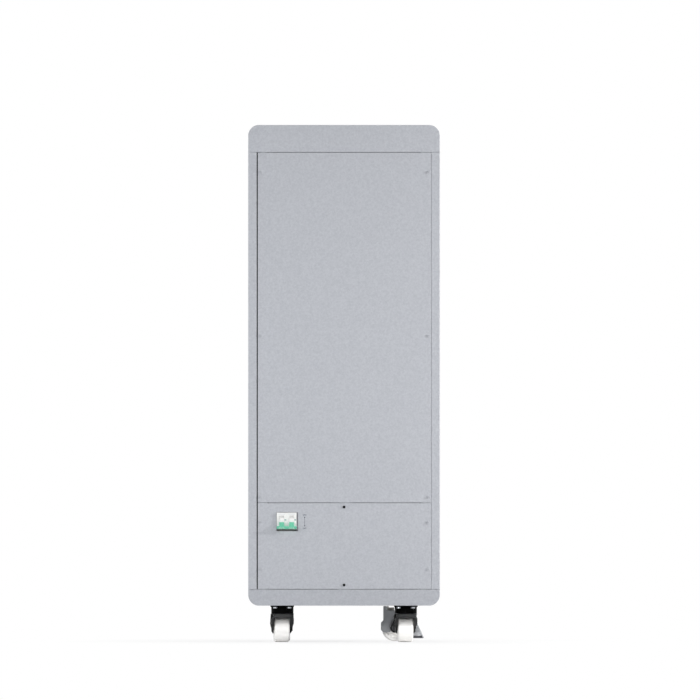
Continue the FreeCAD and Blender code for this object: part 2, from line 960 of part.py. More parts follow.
def make_bms_board():
    z0 = tray_floor + heatsink_lift
    x0 = board_left
    y1 = plate_y_front - standoff_length
    board = box(x0, x0 + board_width, y1 - board_thickness, y1, z0, z0 + heatsink_height)
    pieces = [board]
    for x in (x0 + standoff_inset, x0 + board_width - standoff_inset):
        for z in (z0 + standoff_inset, z0 + heatsink_height - standoff_inset):
            pieces.append(rod(standoff_radius, V(x, y1, z), V(x, plate_y_front, z)))
    front = y1 - board_thickness
    step = (heatsink_height - 2 * standoff_inset - chip_side) / chip_count
    for n in range(chip_count):
        z = z0 + 2 * standoff_inset + n * step
        x = x0 + board_width / 2 - chip_side
        pieces.append(box(x, x + 2 * chip_side, front - chip_height, front, z, z + chip_side))
    return fuse(pieces)


def make_contactor():
    # Contactor with two lugs on the back of the component plate
    z0 = tray_floor + contactor_lift
    x0 = contactor_left
    block = box(x0, x0 + contactor_width, contact_y, contact_y + contactor_depth, z0, z0 + contactor_height)
    block = block.makeFillet(contactor_rounding, edges_where(block, lambda a, b: along("y", a, b)))
    y1 = contact_y + contactor_depth
    middle = z0 + contactor_height / 2
    lugs = [rod(lug_radius, V(x, y1, middle), V(x, y1 + lug_length, middle)) for x in lug_places()]
    return fuse([block] + lugs)


def lug_places():
    middle = contactor_left + contactor_width / 2
    return (middle - contactor_width / 4, middle + contactor_width / 4)


def make_fuse():
    # Bolted fuse on two feet, on the back of the component plate
    z = tray_floor + contactor_lift + contactor_height / 2
    y = contact_y + fuse_radius + fuse_standoff
    barrel = rod(fuse_radius, V(fuse_left, y, z), V(fuse_left + fuse_length, y, z))
    feet = []
    for x in (fuse_left + fuse_foot, fuse_left + fuse_length - fuse_foot):
        feet.append(box(x - fuse_foot / 2, x + fuse_foot / 2, contact_y, y - fuse_radius / 2,
                        z - fuse_foot / 2, z + fuse_foot / 2))
    return fuse([barrel] + feet)


# Rear connections

def terminal_places():
    return (terminal_x - terminal_spacing / 2, terminal_x + terminal_spacing / 2)


def make_terminal_base(x):
    y = body_depth
    half = base_side / 2
    block = box(x - half, x + half, y, y + terminal_base_height, terminal_z - half, terminal_z + half)
    block = block.makeFillet(base_corner, edges_where(block, lambda a, b: along("y", a, b)))
    rim = edges_where(block, lambda a, b: near(a.y, y + terminal_base_height) and near(b.y, a.y))
    block = block.makeChamfer(base_edge, rim)
    boss = rod(base_boss_radius, V(x, y - base_boss_depth, terminal_z), V(x, y, terminal_z))
    hole = rod(stud_radius + seat_clearance, V(x, y - base_boss_depth - overshoot, terminal_z),
               V(x, y + terminal_base_height + overshoot, terminal_z))
    return fuse([block, boss]).cut(hole)


def make_stud(x, z, seat_y, radius, reach, inside, washer, nut_radius, nut_height_here):
    shank = rod(radius, V(x, seat_y - inside, z), V(x, seat_y + reach, z))
    end_edges = [e for e in shank.Edges if near(e.BoundBox.YMin, seat_y + reach)]
    shank = shank.makeChamfer(stud_chamfer, end_edges)
    ring = rod(washer, V(x, seat_y, z), V(x, seat_y + washer_thickness, z))
    nut = hexagon(nut_radius, V(x, seat_y + washer_thickness, z), nut_height_here, V(0, 1, 0))
    return fuse([shank, ring, nut])


def make_terminal_studs():
    seat_y = body_depth + terminal_base_height
    inside = terminal_base_height + base_boss_depth + stud_inside
    studs = []
    for x in terminal_places():
        stud = make_stud(x, terminal_z, seat_y, stud_radius, stud_reach, inside, washer_radius,
                         stud_nut_radius, stud_nut_height)
        inner = hexagon(stud_nut_radius, V(x, body_depth - base_boss_depth - stud_nut_height, terminal_z),
                        stud_nut_height, V(0, 1, 0))
        studs.append(fuse([stud, inner]))
    return group(studs)


def make_earth_stud():
    inside = sheet + earth_nut_height + earth_inside
    stud = make_stud(earth_x, earth_z, body_depth, earth_stud_radius, earth_reach, inside,
                     earth_washer_radius, earth_nut_radius, earth_nut_height)
    inner = hexagon(earth_nut_radius, V(earth_x, body_depth - sheet - earth_nut_height, earth_z),
                    earth_nut_height, V(0, 1, 0))
    return fuse([stud, inner])


def make_comm_ports():
    # One moulded block with two socket cavities, its lip on the outside of the cover
    half = comm_width / 2
    high = comm_height / 2
    y = body_depth
    block = box(comm_x - half, comm_x + half, y - comm_depth, y, comm_z - high, comm_z + high)
    lip = box(comm_x - half - comm_lip, comm_x + half + comm_lip, y, y + comm_lip_thickness,
              comm_z - high - comm_lip, comm_z + high + comm_lip)
    lip = lip.makeFillet(comm_lip_corner, edges_where(lip, lambda a, b: along("y", a, b)))
    cavities = []
    y0 = y + comm_lip_thickness - socket_depth
    y1 = y + comm_lip_thickness + overshoot
    low = comm_z - socket_height / 2
    latch = latch_width / 2
    for side in (-1, 1):
        x = comm_x + side * socket_spacing / 2
        cavities.append(box(x - socket_width / 2, x + socket_width / 2, y0, y1, low, low + socket_height))
        cavities.append(box(x - latch, x + latch, y0, y1, low - latch_depth, low))
    return cut(fuse([block, lip]), cavities)


def button_axis(y):
    return V(button_x, y, button_z)


def make_button_bezel():
    # Threaded barrel with a bezel outside, a nut inside and a blind bore for the button
    y = body_depth
    barrel = rod(barrel_radius, button_axis(y - barrel_depth), button_axis(y))
    bezel = rod(bezel_radius, button_axis(y), button_axis(y + bezel_height))
    rim = [e for e in bezel.Edges if near(e.BoundBox.YMin, y + bezel_height)]
    bezel = bezel.makeChamfer(button_chamfer, rim)
    nut_base = button_axis(y - sheet - barrel_nut_height)
    nut = hexagon(barrel_nut_radius, nut_base, barrel_nut_height, V(0, 1, 0))
    bore = rod(button_radius + drum_clearance, button_axis(y - barrel_depth + barrel_floor),
               button_axis(y + bezel_height + overshoot))
    return fuse([barrel, bezel, nut]).cut(bore)


def make_power_button():
    y1 = body_depth + bezel_height + button_proud
    y0 = body_depth - barrel_depth + barrel_floor + button_travel + drum_clearance
    button = rod(button_radius, button_axis(y0), button_axis(y1))
    return button.makeChamfer(button_chamfer, [e for e in button.Edges if near(e.BoundBox.YMin, y1)])


# Casters

def caster_places():
    # Name, x, y, turn of the trail direction from +x, and whether the caster has a brake
    back = body_depth - caster_inset
    return [("front_left", -caster_x, caster_inset, 90.0 + front_left_turn, False),
            ("front_right", caster_x, caster_inset, 90.0 + front_right_turn, False),
            ("rear_left", -caster_x, back, 90.0, True),
            ("rear_right", caster_x, back, 180.0, True)]


def bolt_places():
    places = []
    for name, x, y, turn, braked in caster_places():
        for side in (-1, 1):
            for end in (-1, 1):
                places.append((x + side * bolt_spacing_x / 2, y + end * bolt_spacing_y / 2))
    return places


def plate_underside():
    return caster_height - plate_thickness


def make_caster_plate(x, y):
    under = plate_underside()
    plate = box(x - plate_x / 2, x + plate_x / 2, y - plate_y / 2, y + plate_y / 2, under, caster_height)
    plate = plate.makeFillet(plate_corner, edges_where(plate, lambda a, b: along("z", a, b)))
    low = under - cup_drop
    cup = rod(swivel_radius, V(x, y, low), V(x, y, under))
    cup = cup.makeChamfer(cup_edge, [e for e in cup.Edges if near(e.BoundBox.ZMax, low)])
    hollow = rod(swivel_radius - cup_wall, V(x, y, low - overshoot), V(x, y, under - cup_roof))
    pin = rod(kingpin_radius, V(x, y, kingpin_foot()), V(x, y, caster_height))
    head = rod(kingpin_head, V(x, y, kingpin_foot()), V(x, y, kingpin_foot() + kingpin_head_height))
    holes = []
    for side in (-1, 1):
        for end in (-1, 1):
            hole_x = x + side * bolt_spacing_x / 2
            hole_y = y + end * bolt_spacing_y / 2
            holes.append(rod(bolt_radius + 2 * hole_clearance, V(hole_x, hole_y, under - overshoot),
                             V(hole_x, hole_y, caster_height + overshoot)))
    return cut(fuse([plate, cup.cut(hollow), pin, head]), holes)


def kingpin_foot():
    return crown_top - crown_thickness - kingpin_gap - kingpin_head_height


def make_swivel_bearings():
    rings = []
    z1 = plate_underside() - cup_roof
    z0 = crown_top + race_height + bearing_gap
    for name, x, y, turn, braked in caster_places():
        outer = rod(race_radius, V(x, y, z0), V(x, y, z1))
        rings.append(outer.cut(rod(race_bore, V(x, y, z0 - overshoot), V(x, y, z1 + overshoot))))
    return group(rings)


def make_plate_bolts():
    bolts = []
    under = plate_underside()
    for x, y in bolt_places():
        head = hexagon(bolt_head_radius, V(x, y, under - bolt_head_height), bolt_head_height, V(0, 0, 1))
        shank = rod(bolt_radius, V(x, y, under), V(x, y, tray_floor + bolt_reach))
        nut = hexagon(bolt_head_radius, V(x, y, tray_floor), bolt_head_height, V(0, 0, 1))
        bolts.append(fuse([head, shank, nut]))
    return group(bolts)


def tangent_point(point, centre, radius, side):
    # Where a line from a point touches a circle, on the side given by +1 or -1
    du = point[0] - centre[0]
    dz = point[1] - centre[1]
    distance = math.hypot(du, dz)
    turn = math.atan2(dz, du) + side * math.acos(radius / distance)
    return (centre[0] + radius * math.cos(turn), centre[1] + radius * math.sin(turn))


def leg_prism(inset, v0, v1):
    # Side outline of the fork: crown, straight edges and the round axle boss
    centre = (trail, wheel_centre_z)
    radius = boss_radius - inset
    top = crown_top - inset
    front = -crown_half_width + inset
    rear = crown_rear - inset
    lip_z = crown_top - crown_lip + inset
    back_tangent = tangent_point((rear, top), centre, radius, -1)
    front_tangent = tangent_point((front, lip_z), centre, radius, 1)
    bottom = (centre[0], centre[1] - radius)

    def at(point):
        return V(point[0], v0, point[1])
    edges = [Part.makeLine(at((front, lip_z)), at((front, top))),
             Part.makeLine(at((front, top)), at((rear, top))),
             Part.makeLine(at((rear, top)), at(back_tangent)),
             Part.Arc(at(back_tangent), at(bottom), at(front_tangent)).toShape(),
             Part.makeLine(at(front_tangent), at((front, lip_z)))]
    return Part.Face(Part.Wire(edges)).extrude(V(0, v1 - v0, 0))


def flare_prism(inset):
    # Front outline of the fork: widest at mid height, narrow at the tips
    low = wheel_centre_z - boss_radius - overshoot
    top = crown_half_width - inset
    flare = flare_half_width - inset
    tip = tip_half_width - inset
    high = crown_top + overshoot
    outline = [(-top, high), (-flare, flare_z), (-tip, low), (tip, low), (flare, flare_z), (top, high)]
    return prism([V(-caster_reach, v, z) for v, z in outline], V(2 * caster_reach, 0, 0))


def make_fork(braked):
    width = flare_half_width + overshoot
    solid = leg_prism(0, -width, width).common(flare_prism(0))
    corners = edges_where(solid, lambda a, b: near(a.x, -crown_half_width) and near(b.x, a.x)
                          and abs(a.y) > leg_inner and not along("y", a, b))
    solid = solid.makeFillet(crown_corner, corners)
    top_edges = [e for e in solid.Edges if near(e.BoundBox.ZMin, crown_top)]
    solid = solid.makeFillet(crown_rounding, top_edges)
    under = crown_top - crown_thickness
    front_wall = -crown_half_width + rim_width
    solid = solid.cut(box(front_wall, trail + wheel_radius, -leg_inner, leg_inner, 0, under))
    for side in (-1, 1):
        near_v = side * (leg_inner + leg_thickness)
        far_v = side * (width + overshoot)
        pocket = leg_prism(rim_width, min(near_v, far_v), max(near_v, far_v))
        solid = solid.cut(pocket)
    race = rod(race_radius, V(0, 0, crown_top - overshoot), V(0, 0, crown_top + race_height))
    solid = solid.fuse(race)
    if braked:
        ears = []
        for side in (-1, 1):
            ears.append(rod(brake_ear_radius, V(brake_u, side * leg_inner, brake_z),
                            V(brake_u, side * (leg_inner + leg_thickness), brake_z)))
        solid = fuse([solid] + ears)
        solid = solid.cut(rod(brake_pin_radius + seat_clearance, V(brake_u, -width, brake_z),
                              V(brake_u, width, brake_z)))
    pin_hole = rod(kingpin_radius + running_clearance, V(0, 0, under - overshoot),
                   V(0, 0, crown_top + race_height + overshoot))
    axle_hole = rod(axle_radius + seat_clearance, V(trail, -width, wheel_centre_z),
                    V(trail, width, wheel_centre_z))
    holes = [pin_hole, axle_hole]
    return cut(solid, holes).removeSplitter()


def make_wheel():
    # Half profile turned about the axle: hub, recessed web, rim and rounded tread
    bore = axle_radius + running_clearance
    hub = hub_width / 2
    web = web_width / 2
    tread = tread_width / 2
    shoulder_r = wheel_radius - shoulder
    turn = shoulder * (1 - math.cos(math.radians(45)))

    def at(v, radius):
        return V(radius, v, 0)
    right = [at(hub, bore), at(hub, hub_radius), at(web, hub_radius + web_draft),
             at(web, rim_inner_radius - web_draft), at(tread, rim_inner_radius), at(tread, shoulder_r)]
    left = [V(point.x, -point.y, 0) for point in reversed(right)]
    edges = []
    for start, end in zip(right[:-1], right[1:]):
        edges.append(Part.makeLine(start, end))
    edges.append(Part.Arc(at(tread, shoulder_r), at(tread - turn, wheel_radius - turn),
                          at(tread - shoulder, wheel_radius)).toShape())
    edges.append(Part.makeLine(at(tread - shoulder, wheel_radius), at(shoulder - tread, wheel_radius)))
    edges.append(Part.Arc(at(shoulder - tread, wheel_radius), at(turn - tread, wheel_radius - turn),
                          at(-tread, shoulder_r)).toShape())
    for start, end in zip(left[:-1], left[1:]):
        edges.append(Part.makeLine(start, end))
    edges.append(Part.makeLine(left[-1], right[0]))
    wheel = Part.Face(Part.Wire(edges)).revolve(V(0, 0, 0), V(0, 1, 0), 360)
    return wheel.translated(V(trail, 0, wheel_centre_z))


def make_axle(braked):
    reach = leg_inner + leg_thickness
    shank = rod(axle_radius, V(trail, -reach, wheel_centre_z), V(trail, reach, wheel_centre_z))
    pieces = [shank]
    for side in (-1, 1):
        base = V(trail, side * reach, wheel_centre_z)
        if side < 0:
            pieces.append(rod(axle_head_radius, base, base.add(V(0, -axle_head_height, 0))))
        else:
            pieces.append(hexagon(axle_head_radius, base, axle_head_height, V(0, 1, 0)))
    axle = fuse(pieces)
    if not braked:
        return axle
    half_pin = reach + pin_proud
    pin = rod(brake_pin_radius, V(brake_u, -half_pin, brake_z), V(brake_u, half_pin, brake_z))
    return group([axle, pin])


def bar(start, end, thickness, half):
    # Flat bar of the given thickness along a line in the u-z plane
    line = end.sub(start)
    across = V(-line.z, 0, line.x).normalize().multiply(thickness / 2)
    low = V(0, -half, 0)
    corners = [start.add(across), end.add(across), end.sub(across), start.sub(across)]
    return prism([corner.add(low) for corner in corners], V(0, 2 * half, 0))


def make_brake_pedal():
    # Hub on the brake pin, shoe arm towards the wheel and the blade that a foot presses
    pivot = V(brake_u, 0, brake_z)
    hub = rod(brake_hub_radius, pivot.add(V(0, -brake_hub_half, 0)), pivot.add(V(0, brake_hub_half, 0)))
    to_wheel = V(trail, 0, wheel_centre_z).sub(pivot)
    reach = to_wheel.Length - wheel_radius - shoe_gap - shoe_radius
    end = pivot.add(V(to_wheel).normalize().multiply(reach))
    shoe = rod(shoe_radius, end.add(V(0, -shoe_half, 0)), end.add(V(0, shoe_half, 0)))
    arm = bar(pivot, end, 2 * shoe_radius, shoe_half)
    top = V(blade_top_u, 0, blade_top_z)
    tip = V(blade_tip_u, 0, blade_tip_z)
    neck = bar(pivot, top, neck_thickness, blade_half)
    blade = bar(top, tip, blade_thickness, blade_half)
    low_z = blade_tip_z + blade_thickness
    low_corners = edges_where(blade, lambda a, b: not along("y", a, b) and max(a.z, b.z) < low_z)
    blade = blade.makeFillet(blade_corner, low_corners)
    low = blade_tip_z + cheek_lift
    outline = [(cheek_inner_u, cheek_top_z), (blade_top_u, blade_top_z), (blade_tip_u, low),
               (cheek_inner_u, low)]
    cheek_v = blade_half - blade_corner
    cheeks = []
    for v in (-cheek_v, cheek_v - cheek_thickness):
        cheeks.append(prism([V(u, v, z) for u, z in outline], V(0, cheek_thickness, 0)))
    pedal = fuse([hub, shoe, arm, neck, blade] + cheeks)
    bore = rod(brake_pin_radius + running_clearance, pivot.add(V(0, -brake_hub_half - overshoot, 0)),
               pivot.add(V(0, brake_hub_half + overshoot, 0)))
    return pedal.cut(bore)


def make_brake_housing():
    # Cover over the trailing side of the wheel, open towards the fork
    near_u = housing_near
    bulge = housing_bulge - housing_far
    outline = [(near_u, housing_top), (housing_lip_near, housing_top), (housing_lip_near, housing_lip_top),
               (housing_far, housing_lip_top), (housing_far, flare_z + bulge),
               (housing_bulge, flare_z), (housing_bulge, housing_low + bulge), (housing_far, housing_low),
               (trail + boss_radius, housing_low), (near_u, crown_top - crown_lip)]
    points = [V(u, -housing_half, z) for u, z in outline]
    outer = prism(points, V(0, 2 * housing_half, 0))
    far_edges = edges_where(outer, lambda a, b: along("y", a, b) and a.x > trail + boss_radius + overshoot)
    outer = outer.makeFillet(housing_rounding, far_edges)
    hollow = box(near_u - overshoot, housing_far - housing_wall, -leg_inner, leg_inner,
                 housing_low - overshoot, housing_top - housing_wall)
    lip_hollow = box(housing_lip_near + housing_wall, housing_far - housing_wall, -leg_inner, leg_inner,
                     housing_low, housing_lip_top - housing_wall)
    wheel_space = rod(wheel_radius + housing_wheel_gap, V(trail, -leg_inner, wheel_centre_z),
                      V(trail, leg_inner, wheel_centre_z))
    fork_space = leg_prism(-housing_fork_gap, -caster_reach, caster_reach)
    return cut(outer, [hollow, lip_hollow, wheel_space, fork_space])


def placed(shape, x, y, turn):
    return shape.rotated(V(0, 0, 0), V(0, 0, 1), turn).translated(V(x, y, 0))


def make_all():
    parts = {}
    parts["top_cap"] = make_top_cap()
    parts["base_tray"] = make_base_tray()
    parts["side_panel_right"] = make_side_panel()
    parts["side_panel_left"] = mirror_x(make_side_panel())
    parts["corner_posts"] = make_corner_posts()
    parts["frame_rails"] = make_frame_rails()
    parts["frame_brackets"] = make_frame_brackets()
    parts["upper_cover"] = make_upper_cover()
    parts["lower_cover"] = make_lower_cover()
    parts["side_screws"] = make_side_screws()
    parts["centre_screws"] = make_centre_screws()
    parts["back_upper_cover"] = mirror_y(make_upper_cover())
    parts["back_lower_cover"] = make_back_lower_cover()
    parts["back_screws"] = mirror_y(group([make_side_screws(), make_centre_screws()]))
    parts["cell_shelves"] = group([make_shelf(z) for z in tier_tops])
    for number, z in enumerate(tier_tops, start=1):
        parts["cells_tier_%d" % number] = make_cell_tier(z)
    parts["busbars"] = make_busbars()
    parts["tier_links"] = make_tier_links()
    parts["end_plates"] = make_end_plates()
    parts["tie_rods"] = make_tie_rods()
    parts["breaker_poles"] = group([make_pole(x) for x in pole_centres()])
    parts["breaker_clamps"] = make_breaker_clamps()
    parts["breaker_drums"] = make_breaker_drums()
    parts["breaker_toggle"] = make_breaker_toggle()
    parts["din_rail"] = make_din_rail()
    parts["component_plate"] = make_component_plate()
    parts["bms_heatsink"] = make_heatsink()
    parts["bms_board"] = make_bms_board()
    parts["contactor"] = make_contactor()
    parts["main_fuse"] = make_fuse()
    negative_x, positive_x = terminal_places()
    parts["terminal_base_positive"] = make_terminal_base(positive_x)
    parts["terminal_base_negative"] = make_terminal_base(negative_x)
    parts["terminal_studs"] = make_terminal_studs()
    parts["earth_stud"] = make_earth_stud()
    parts["comm_ports"] = make_comm_ports()
    parts["button_bezel"] = make_button_bezel()
    parts["power_button"] = make_power_button()
    plates = []
    for name, x, y, turn, braked in caster_places():
        plates.append(make_caster_plate(x, y))
        parts["caster_fork_" + name] = placed(make_fork(braked), x, y, turn)
        parts["caster_wheel_" + name] = placed(make_wheel(), x, y, turn)
        parts["caster_axle_" + name] = placed(make_axle(braked), x, y, turn)
        if braked:
            parts["brake_pedal_" + name] = placed(make_brake_pedal(), x, y, turn)
            parts["brake_housing_" + name] = placed(make_brake_housing(), x, y, turn)
    parts["caster_plates"] = group(plates)
    parts["swivel_bearings"] = make_swivel_bearings()
    parts["plate_bolts"] = make_plate_bolts()
    return parts


def export(parts):
    front = min(shape.optimalBoundingBox().YMin for shape in parts.values())
    back = max(shape.optimalBoundingBox().YMax for shape in parts.values())
    shift = V(0, -(front + back) / 2, 0)
    for name, shape in parts.items():
        shape.translated(shift).exportStep("parts/" + name + ".step")
    print("shift along y:", round(shift.y, 4), "pieces:", len(parts))


export(make_all())
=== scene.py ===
import json
import math

import bmesh
import bpy
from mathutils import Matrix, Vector


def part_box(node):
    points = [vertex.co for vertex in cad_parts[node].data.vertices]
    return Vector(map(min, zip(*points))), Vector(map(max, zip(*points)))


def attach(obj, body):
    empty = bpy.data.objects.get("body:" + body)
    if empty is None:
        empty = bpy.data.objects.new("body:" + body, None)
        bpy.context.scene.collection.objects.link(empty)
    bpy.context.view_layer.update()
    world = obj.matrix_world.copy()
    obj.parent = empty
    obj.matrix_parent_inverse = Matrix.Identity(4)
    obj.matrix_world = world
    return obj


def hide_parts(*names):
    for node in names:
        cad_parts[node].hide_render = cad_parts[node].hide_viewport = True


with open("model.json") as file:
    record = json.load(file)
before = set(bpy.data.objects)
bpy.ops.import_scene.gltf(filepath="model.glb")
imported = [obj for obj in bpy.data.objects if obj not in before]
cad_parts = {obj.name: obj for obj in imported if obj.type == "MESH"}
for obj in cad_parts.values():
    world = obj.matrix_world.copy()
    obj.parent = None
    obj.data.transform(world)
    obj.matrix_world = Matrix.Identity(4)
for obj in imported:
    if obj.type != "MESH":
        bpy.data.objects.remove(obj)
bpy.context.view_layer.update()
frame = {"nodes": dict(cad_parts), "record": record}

# Battery cabinet on casters, in metres. The front covers' outer face is the plane y = front_y.

# Millimetres to metres
mm = 0.001
# Corners closer than this are welded into one
weld_distance = 0.002 * mm


def linear(code):
    # sRGB hex to the linear values that shaders take
    values = []
    for at in (1, 3, 5):
        c = int(code[at:at + 2], 16) / 255.0
        values.append(c / 12.92 if c <= 0.04045 else ((c + 0.055) / 1.055) ** 2.4)
    return (*values, 1.0)


def per_metre(size_mm):
    # Pattern scale that gives features of this size on Object coordinates
    return 1.0 / (size_mm * mm)


def add(tree, kind, settings=None, links=None):
    # Adds one node with its settings and links
    node = tree.nodes.new(kind)
    for key, value in (settings or {}).items():
        if isinstance(key, int) or key in node.inputs:
            node.inputs[key].default_value = value
        else:
            setattr(node, key, value)
    for key, source in (links or {}).items():
        tree.links.new(source, node.inputs[key])
    return node


def new_finish(name, **settings):
    # Material with an empty principled shader, for a pattern to be linked in
    material = bpy.data.materials.new(name)
    material.use_nodes = True
    tree = material.node_tree
    tree.nodes.clear()
    shader = add(tree, "ShaderNodeBsdfPrincipled", settings)
    add(tree, "ShaderNodeOutputMaterial", links={"Surface": shader.outputs["BSDF"]})
    place = add(tree, "ShaderNodeTexCoord")
    return material, tree, shader, place.outputs["Object"]


def grainy(name, dark, light, grain_mm, relief_mm, rough, cloud_mm, **settings):
    # Two sRGB tones that drift over clouds of one size, with grain of another size in the relief
    material, tree, shader, at = new_finish(name, **settings)
    cloud = add(tree, "ShaderNodeTexNoise", {"Scale": per_metre(cloud_mm), "Detail": 4.0}, {"Vector": at})
    tone = add(tree, "ShaderNodeMix", {"data_type": "RGBA", 6: linear(dark), 7: linear(light)},
               {0: cloud.outputs["Fac"]})
    tree.links.new(tone.outputs[2], shader.inputs["Base Color"])
    grain = add(tree, "ShaderNodeTexNoise", {"Scale": per_metre(grain_mm), "Detail": 3.0}, {"Vector": at})
    gloss = add(tree, "ShaderNodeMapRange", {"To Min": rough[0], "To Max": rough[1]},
                {"Value": grain.outputs["Fac"]})
    tree.links.new(gloss.outputs["Result"], shader.inputs["Roughness"])
    relief = add(tree, "ShaderNodeBump", {"Strength": 1.0, "Distance": relief_mm * mm},
                 {"Height": grain.outputs["Fac"]})
    tree.links.new(relief.outputs["Normal"], shader.inputs["Normal"])
    return material


def drawn_metal(name, dark, light, line_mm, stretch, relief_mm, rough, **settings):
    # Fine tool marks: noise stretched along the given axes, in tone, gloss and relief
    material, tree, shader, at = new_finish(name, Metallic=1.0, **settings)
    along = add(tree, "ShaderNodeMapping", {"Scale": stretch}, {"Vector": at})
    lines = add(tree, "ShaderNodeTexNoise", {"Scale": per_metre(line_mm), "Detail": 5.0},
                {"Vector": along.outputs["Vector"]})
    tone = add(tree, "ShaderNodeMix", {"data_type": "RGBA", 6: linear(dark), 7: linear(light)},
               {0: lines.outputs["Fac"]})
    tree.links.new(tone.outputs[2], shader.inputs["Base Color"])
    gloss = add(tree, "ShaderNodeMapRange", {"To Min": rough[0], "To Max": rough[1]},
                {"Value": lines.outputs["Fac"]})
    tree.links.new(gloss.outputs["Result"], shader.inputs["Roughness"])
    relief = add(tree, "ShaderNodeBump", {"Strength": 0.6, "Distance": relief_mm * mm},
                 {"Height": lines.outputs["Fac"]})
    tree.links.new(relief.outputs["Normal"], shader.inputs["Normal"])
    return material


def spangled(name, dark, light, spangle_mm, rough, **settings):
    # Zinc skin: flat crystals of slightly different tone and gloss
    material, tree, shader, at = new_finish(name, Metallic=1.0, **settings)
    crystals = add(tree, "ShaderNodeTexVoronoi", {"Scale": per_metre(spangle_mm)}, {"Vector": at})
    level = add(tree, "ShaderNodeSeparateColor", links={"Color": crystals.outputs["Color"]})
    tone = add(tree, "ShaderNodeMix", {"data_type": "RGBA", 6: linear(dark), 7: linear(light)},
               {0: level.outputs["Red"]})
    tree.links.new(tone.outputs[2], shader.inputs["Base Color"])
    gloss = add(tree, "ShaderNodeMapRange", {"To Min": rough[0], "To Max": rough[1]},
                {"Value": level.outputs["Green"]})
    tree.links.new(gloss.outputs["Result"], shader.inputs["Roughness"])
    return material


def powder_coat(name, dark, light):
    # Polyester powder baked on steel sheet: a light bluish gray with a fine sand texture. The real grain
    # is about 0.4 mm and too fine to show, so a coarser mottle of 5 mm is drawn over it.
    material, tree, shader, at = new_finish(name, IOR=1.5)
    mottle = add(tree, "ShaderNodeTexNoise", {"Scale": per_metre(5.0), "Detail": 6.0, "Roughness": 0.7},
                 {"Vector": at})
    steep = add(tree, "ShaderNodeMapRange", {"From Min": 0.3, "From Max": 0.7},
                {"Value": mottle.outputs["Fac"]})
    tone = add(tree, "ShaderNodeMix", {"data_type": "RGBA", 6: linear(dark), 7: linear(light)},
               {0: steep.outputs["Result"]})
    tree.links.new(tone.outputs[2], shader.inputs["Base Color"])
    gloss = add(tree, "ShaderNodeMapRange", {"To Min": 0.5, "To Max": 0.66},
                {"Value": mottle.outputs["Fac"]})
    tree.links.new(gloss.outputs["Result"], shader.inputs["Roughness"])
    sand = add(tree, "ShaderNodeTexNoise", {"Scale": per_metre(1.1), "Detail": 2.0}, {"Vector": at})
    fine = add(tree, "ShaderNodeBump", {"Strength": 0.5, "Distance": 0.06 * mm},
               {"Height": sand.outputs["Fac"]})
    wave = add(tree, "ShaderNodeBump", {"Strength": 0.6, "Distance": 0.12 * mm},
               {"Height": mottle.outputs["Fac"], "Normal": fine.outputs["Normal"]})
    tree.links.new(wave.outputs["Normal"], shader.inputs["Normal"])
    return material


def solder_mask():
    # Green lacquer over copper tracks: the tracks show as slightly raised, lighter lines
    material, tree, shader, at = new_finish("solder_masked_laminate", IOR=1.5, Roughness=0.32)
    turned = add(tree, "ShaderNodeMapping", {"Rotation": (math.radians(90), 0.0, 0.0)}, {"Vector": at})
    tracks = add(tree, "ShaderNodeTexBrick",
                 {"Scale": per_metre(18.0), "Color1": linear("#1C5536"), "Color2": linear("#21613E"),
                  "Mortar": linear("#2E7A50"), "Mortar Size": 0.03},
                 {"Vector": turned.outputs["Vector"]})
    tree.links.new(tracks.outputs["Color"], shader.inputs["Base Color"])
    relief = add(tree, "ShaderNodeBump", {"Strength": 0.5, "Distance": 0.05 * mm},
                 {"Height": tracks.outputs["Fac"]})
    tree.links.new(relief.outputs["Normal"], shader.inputs["Normal"])
    return material


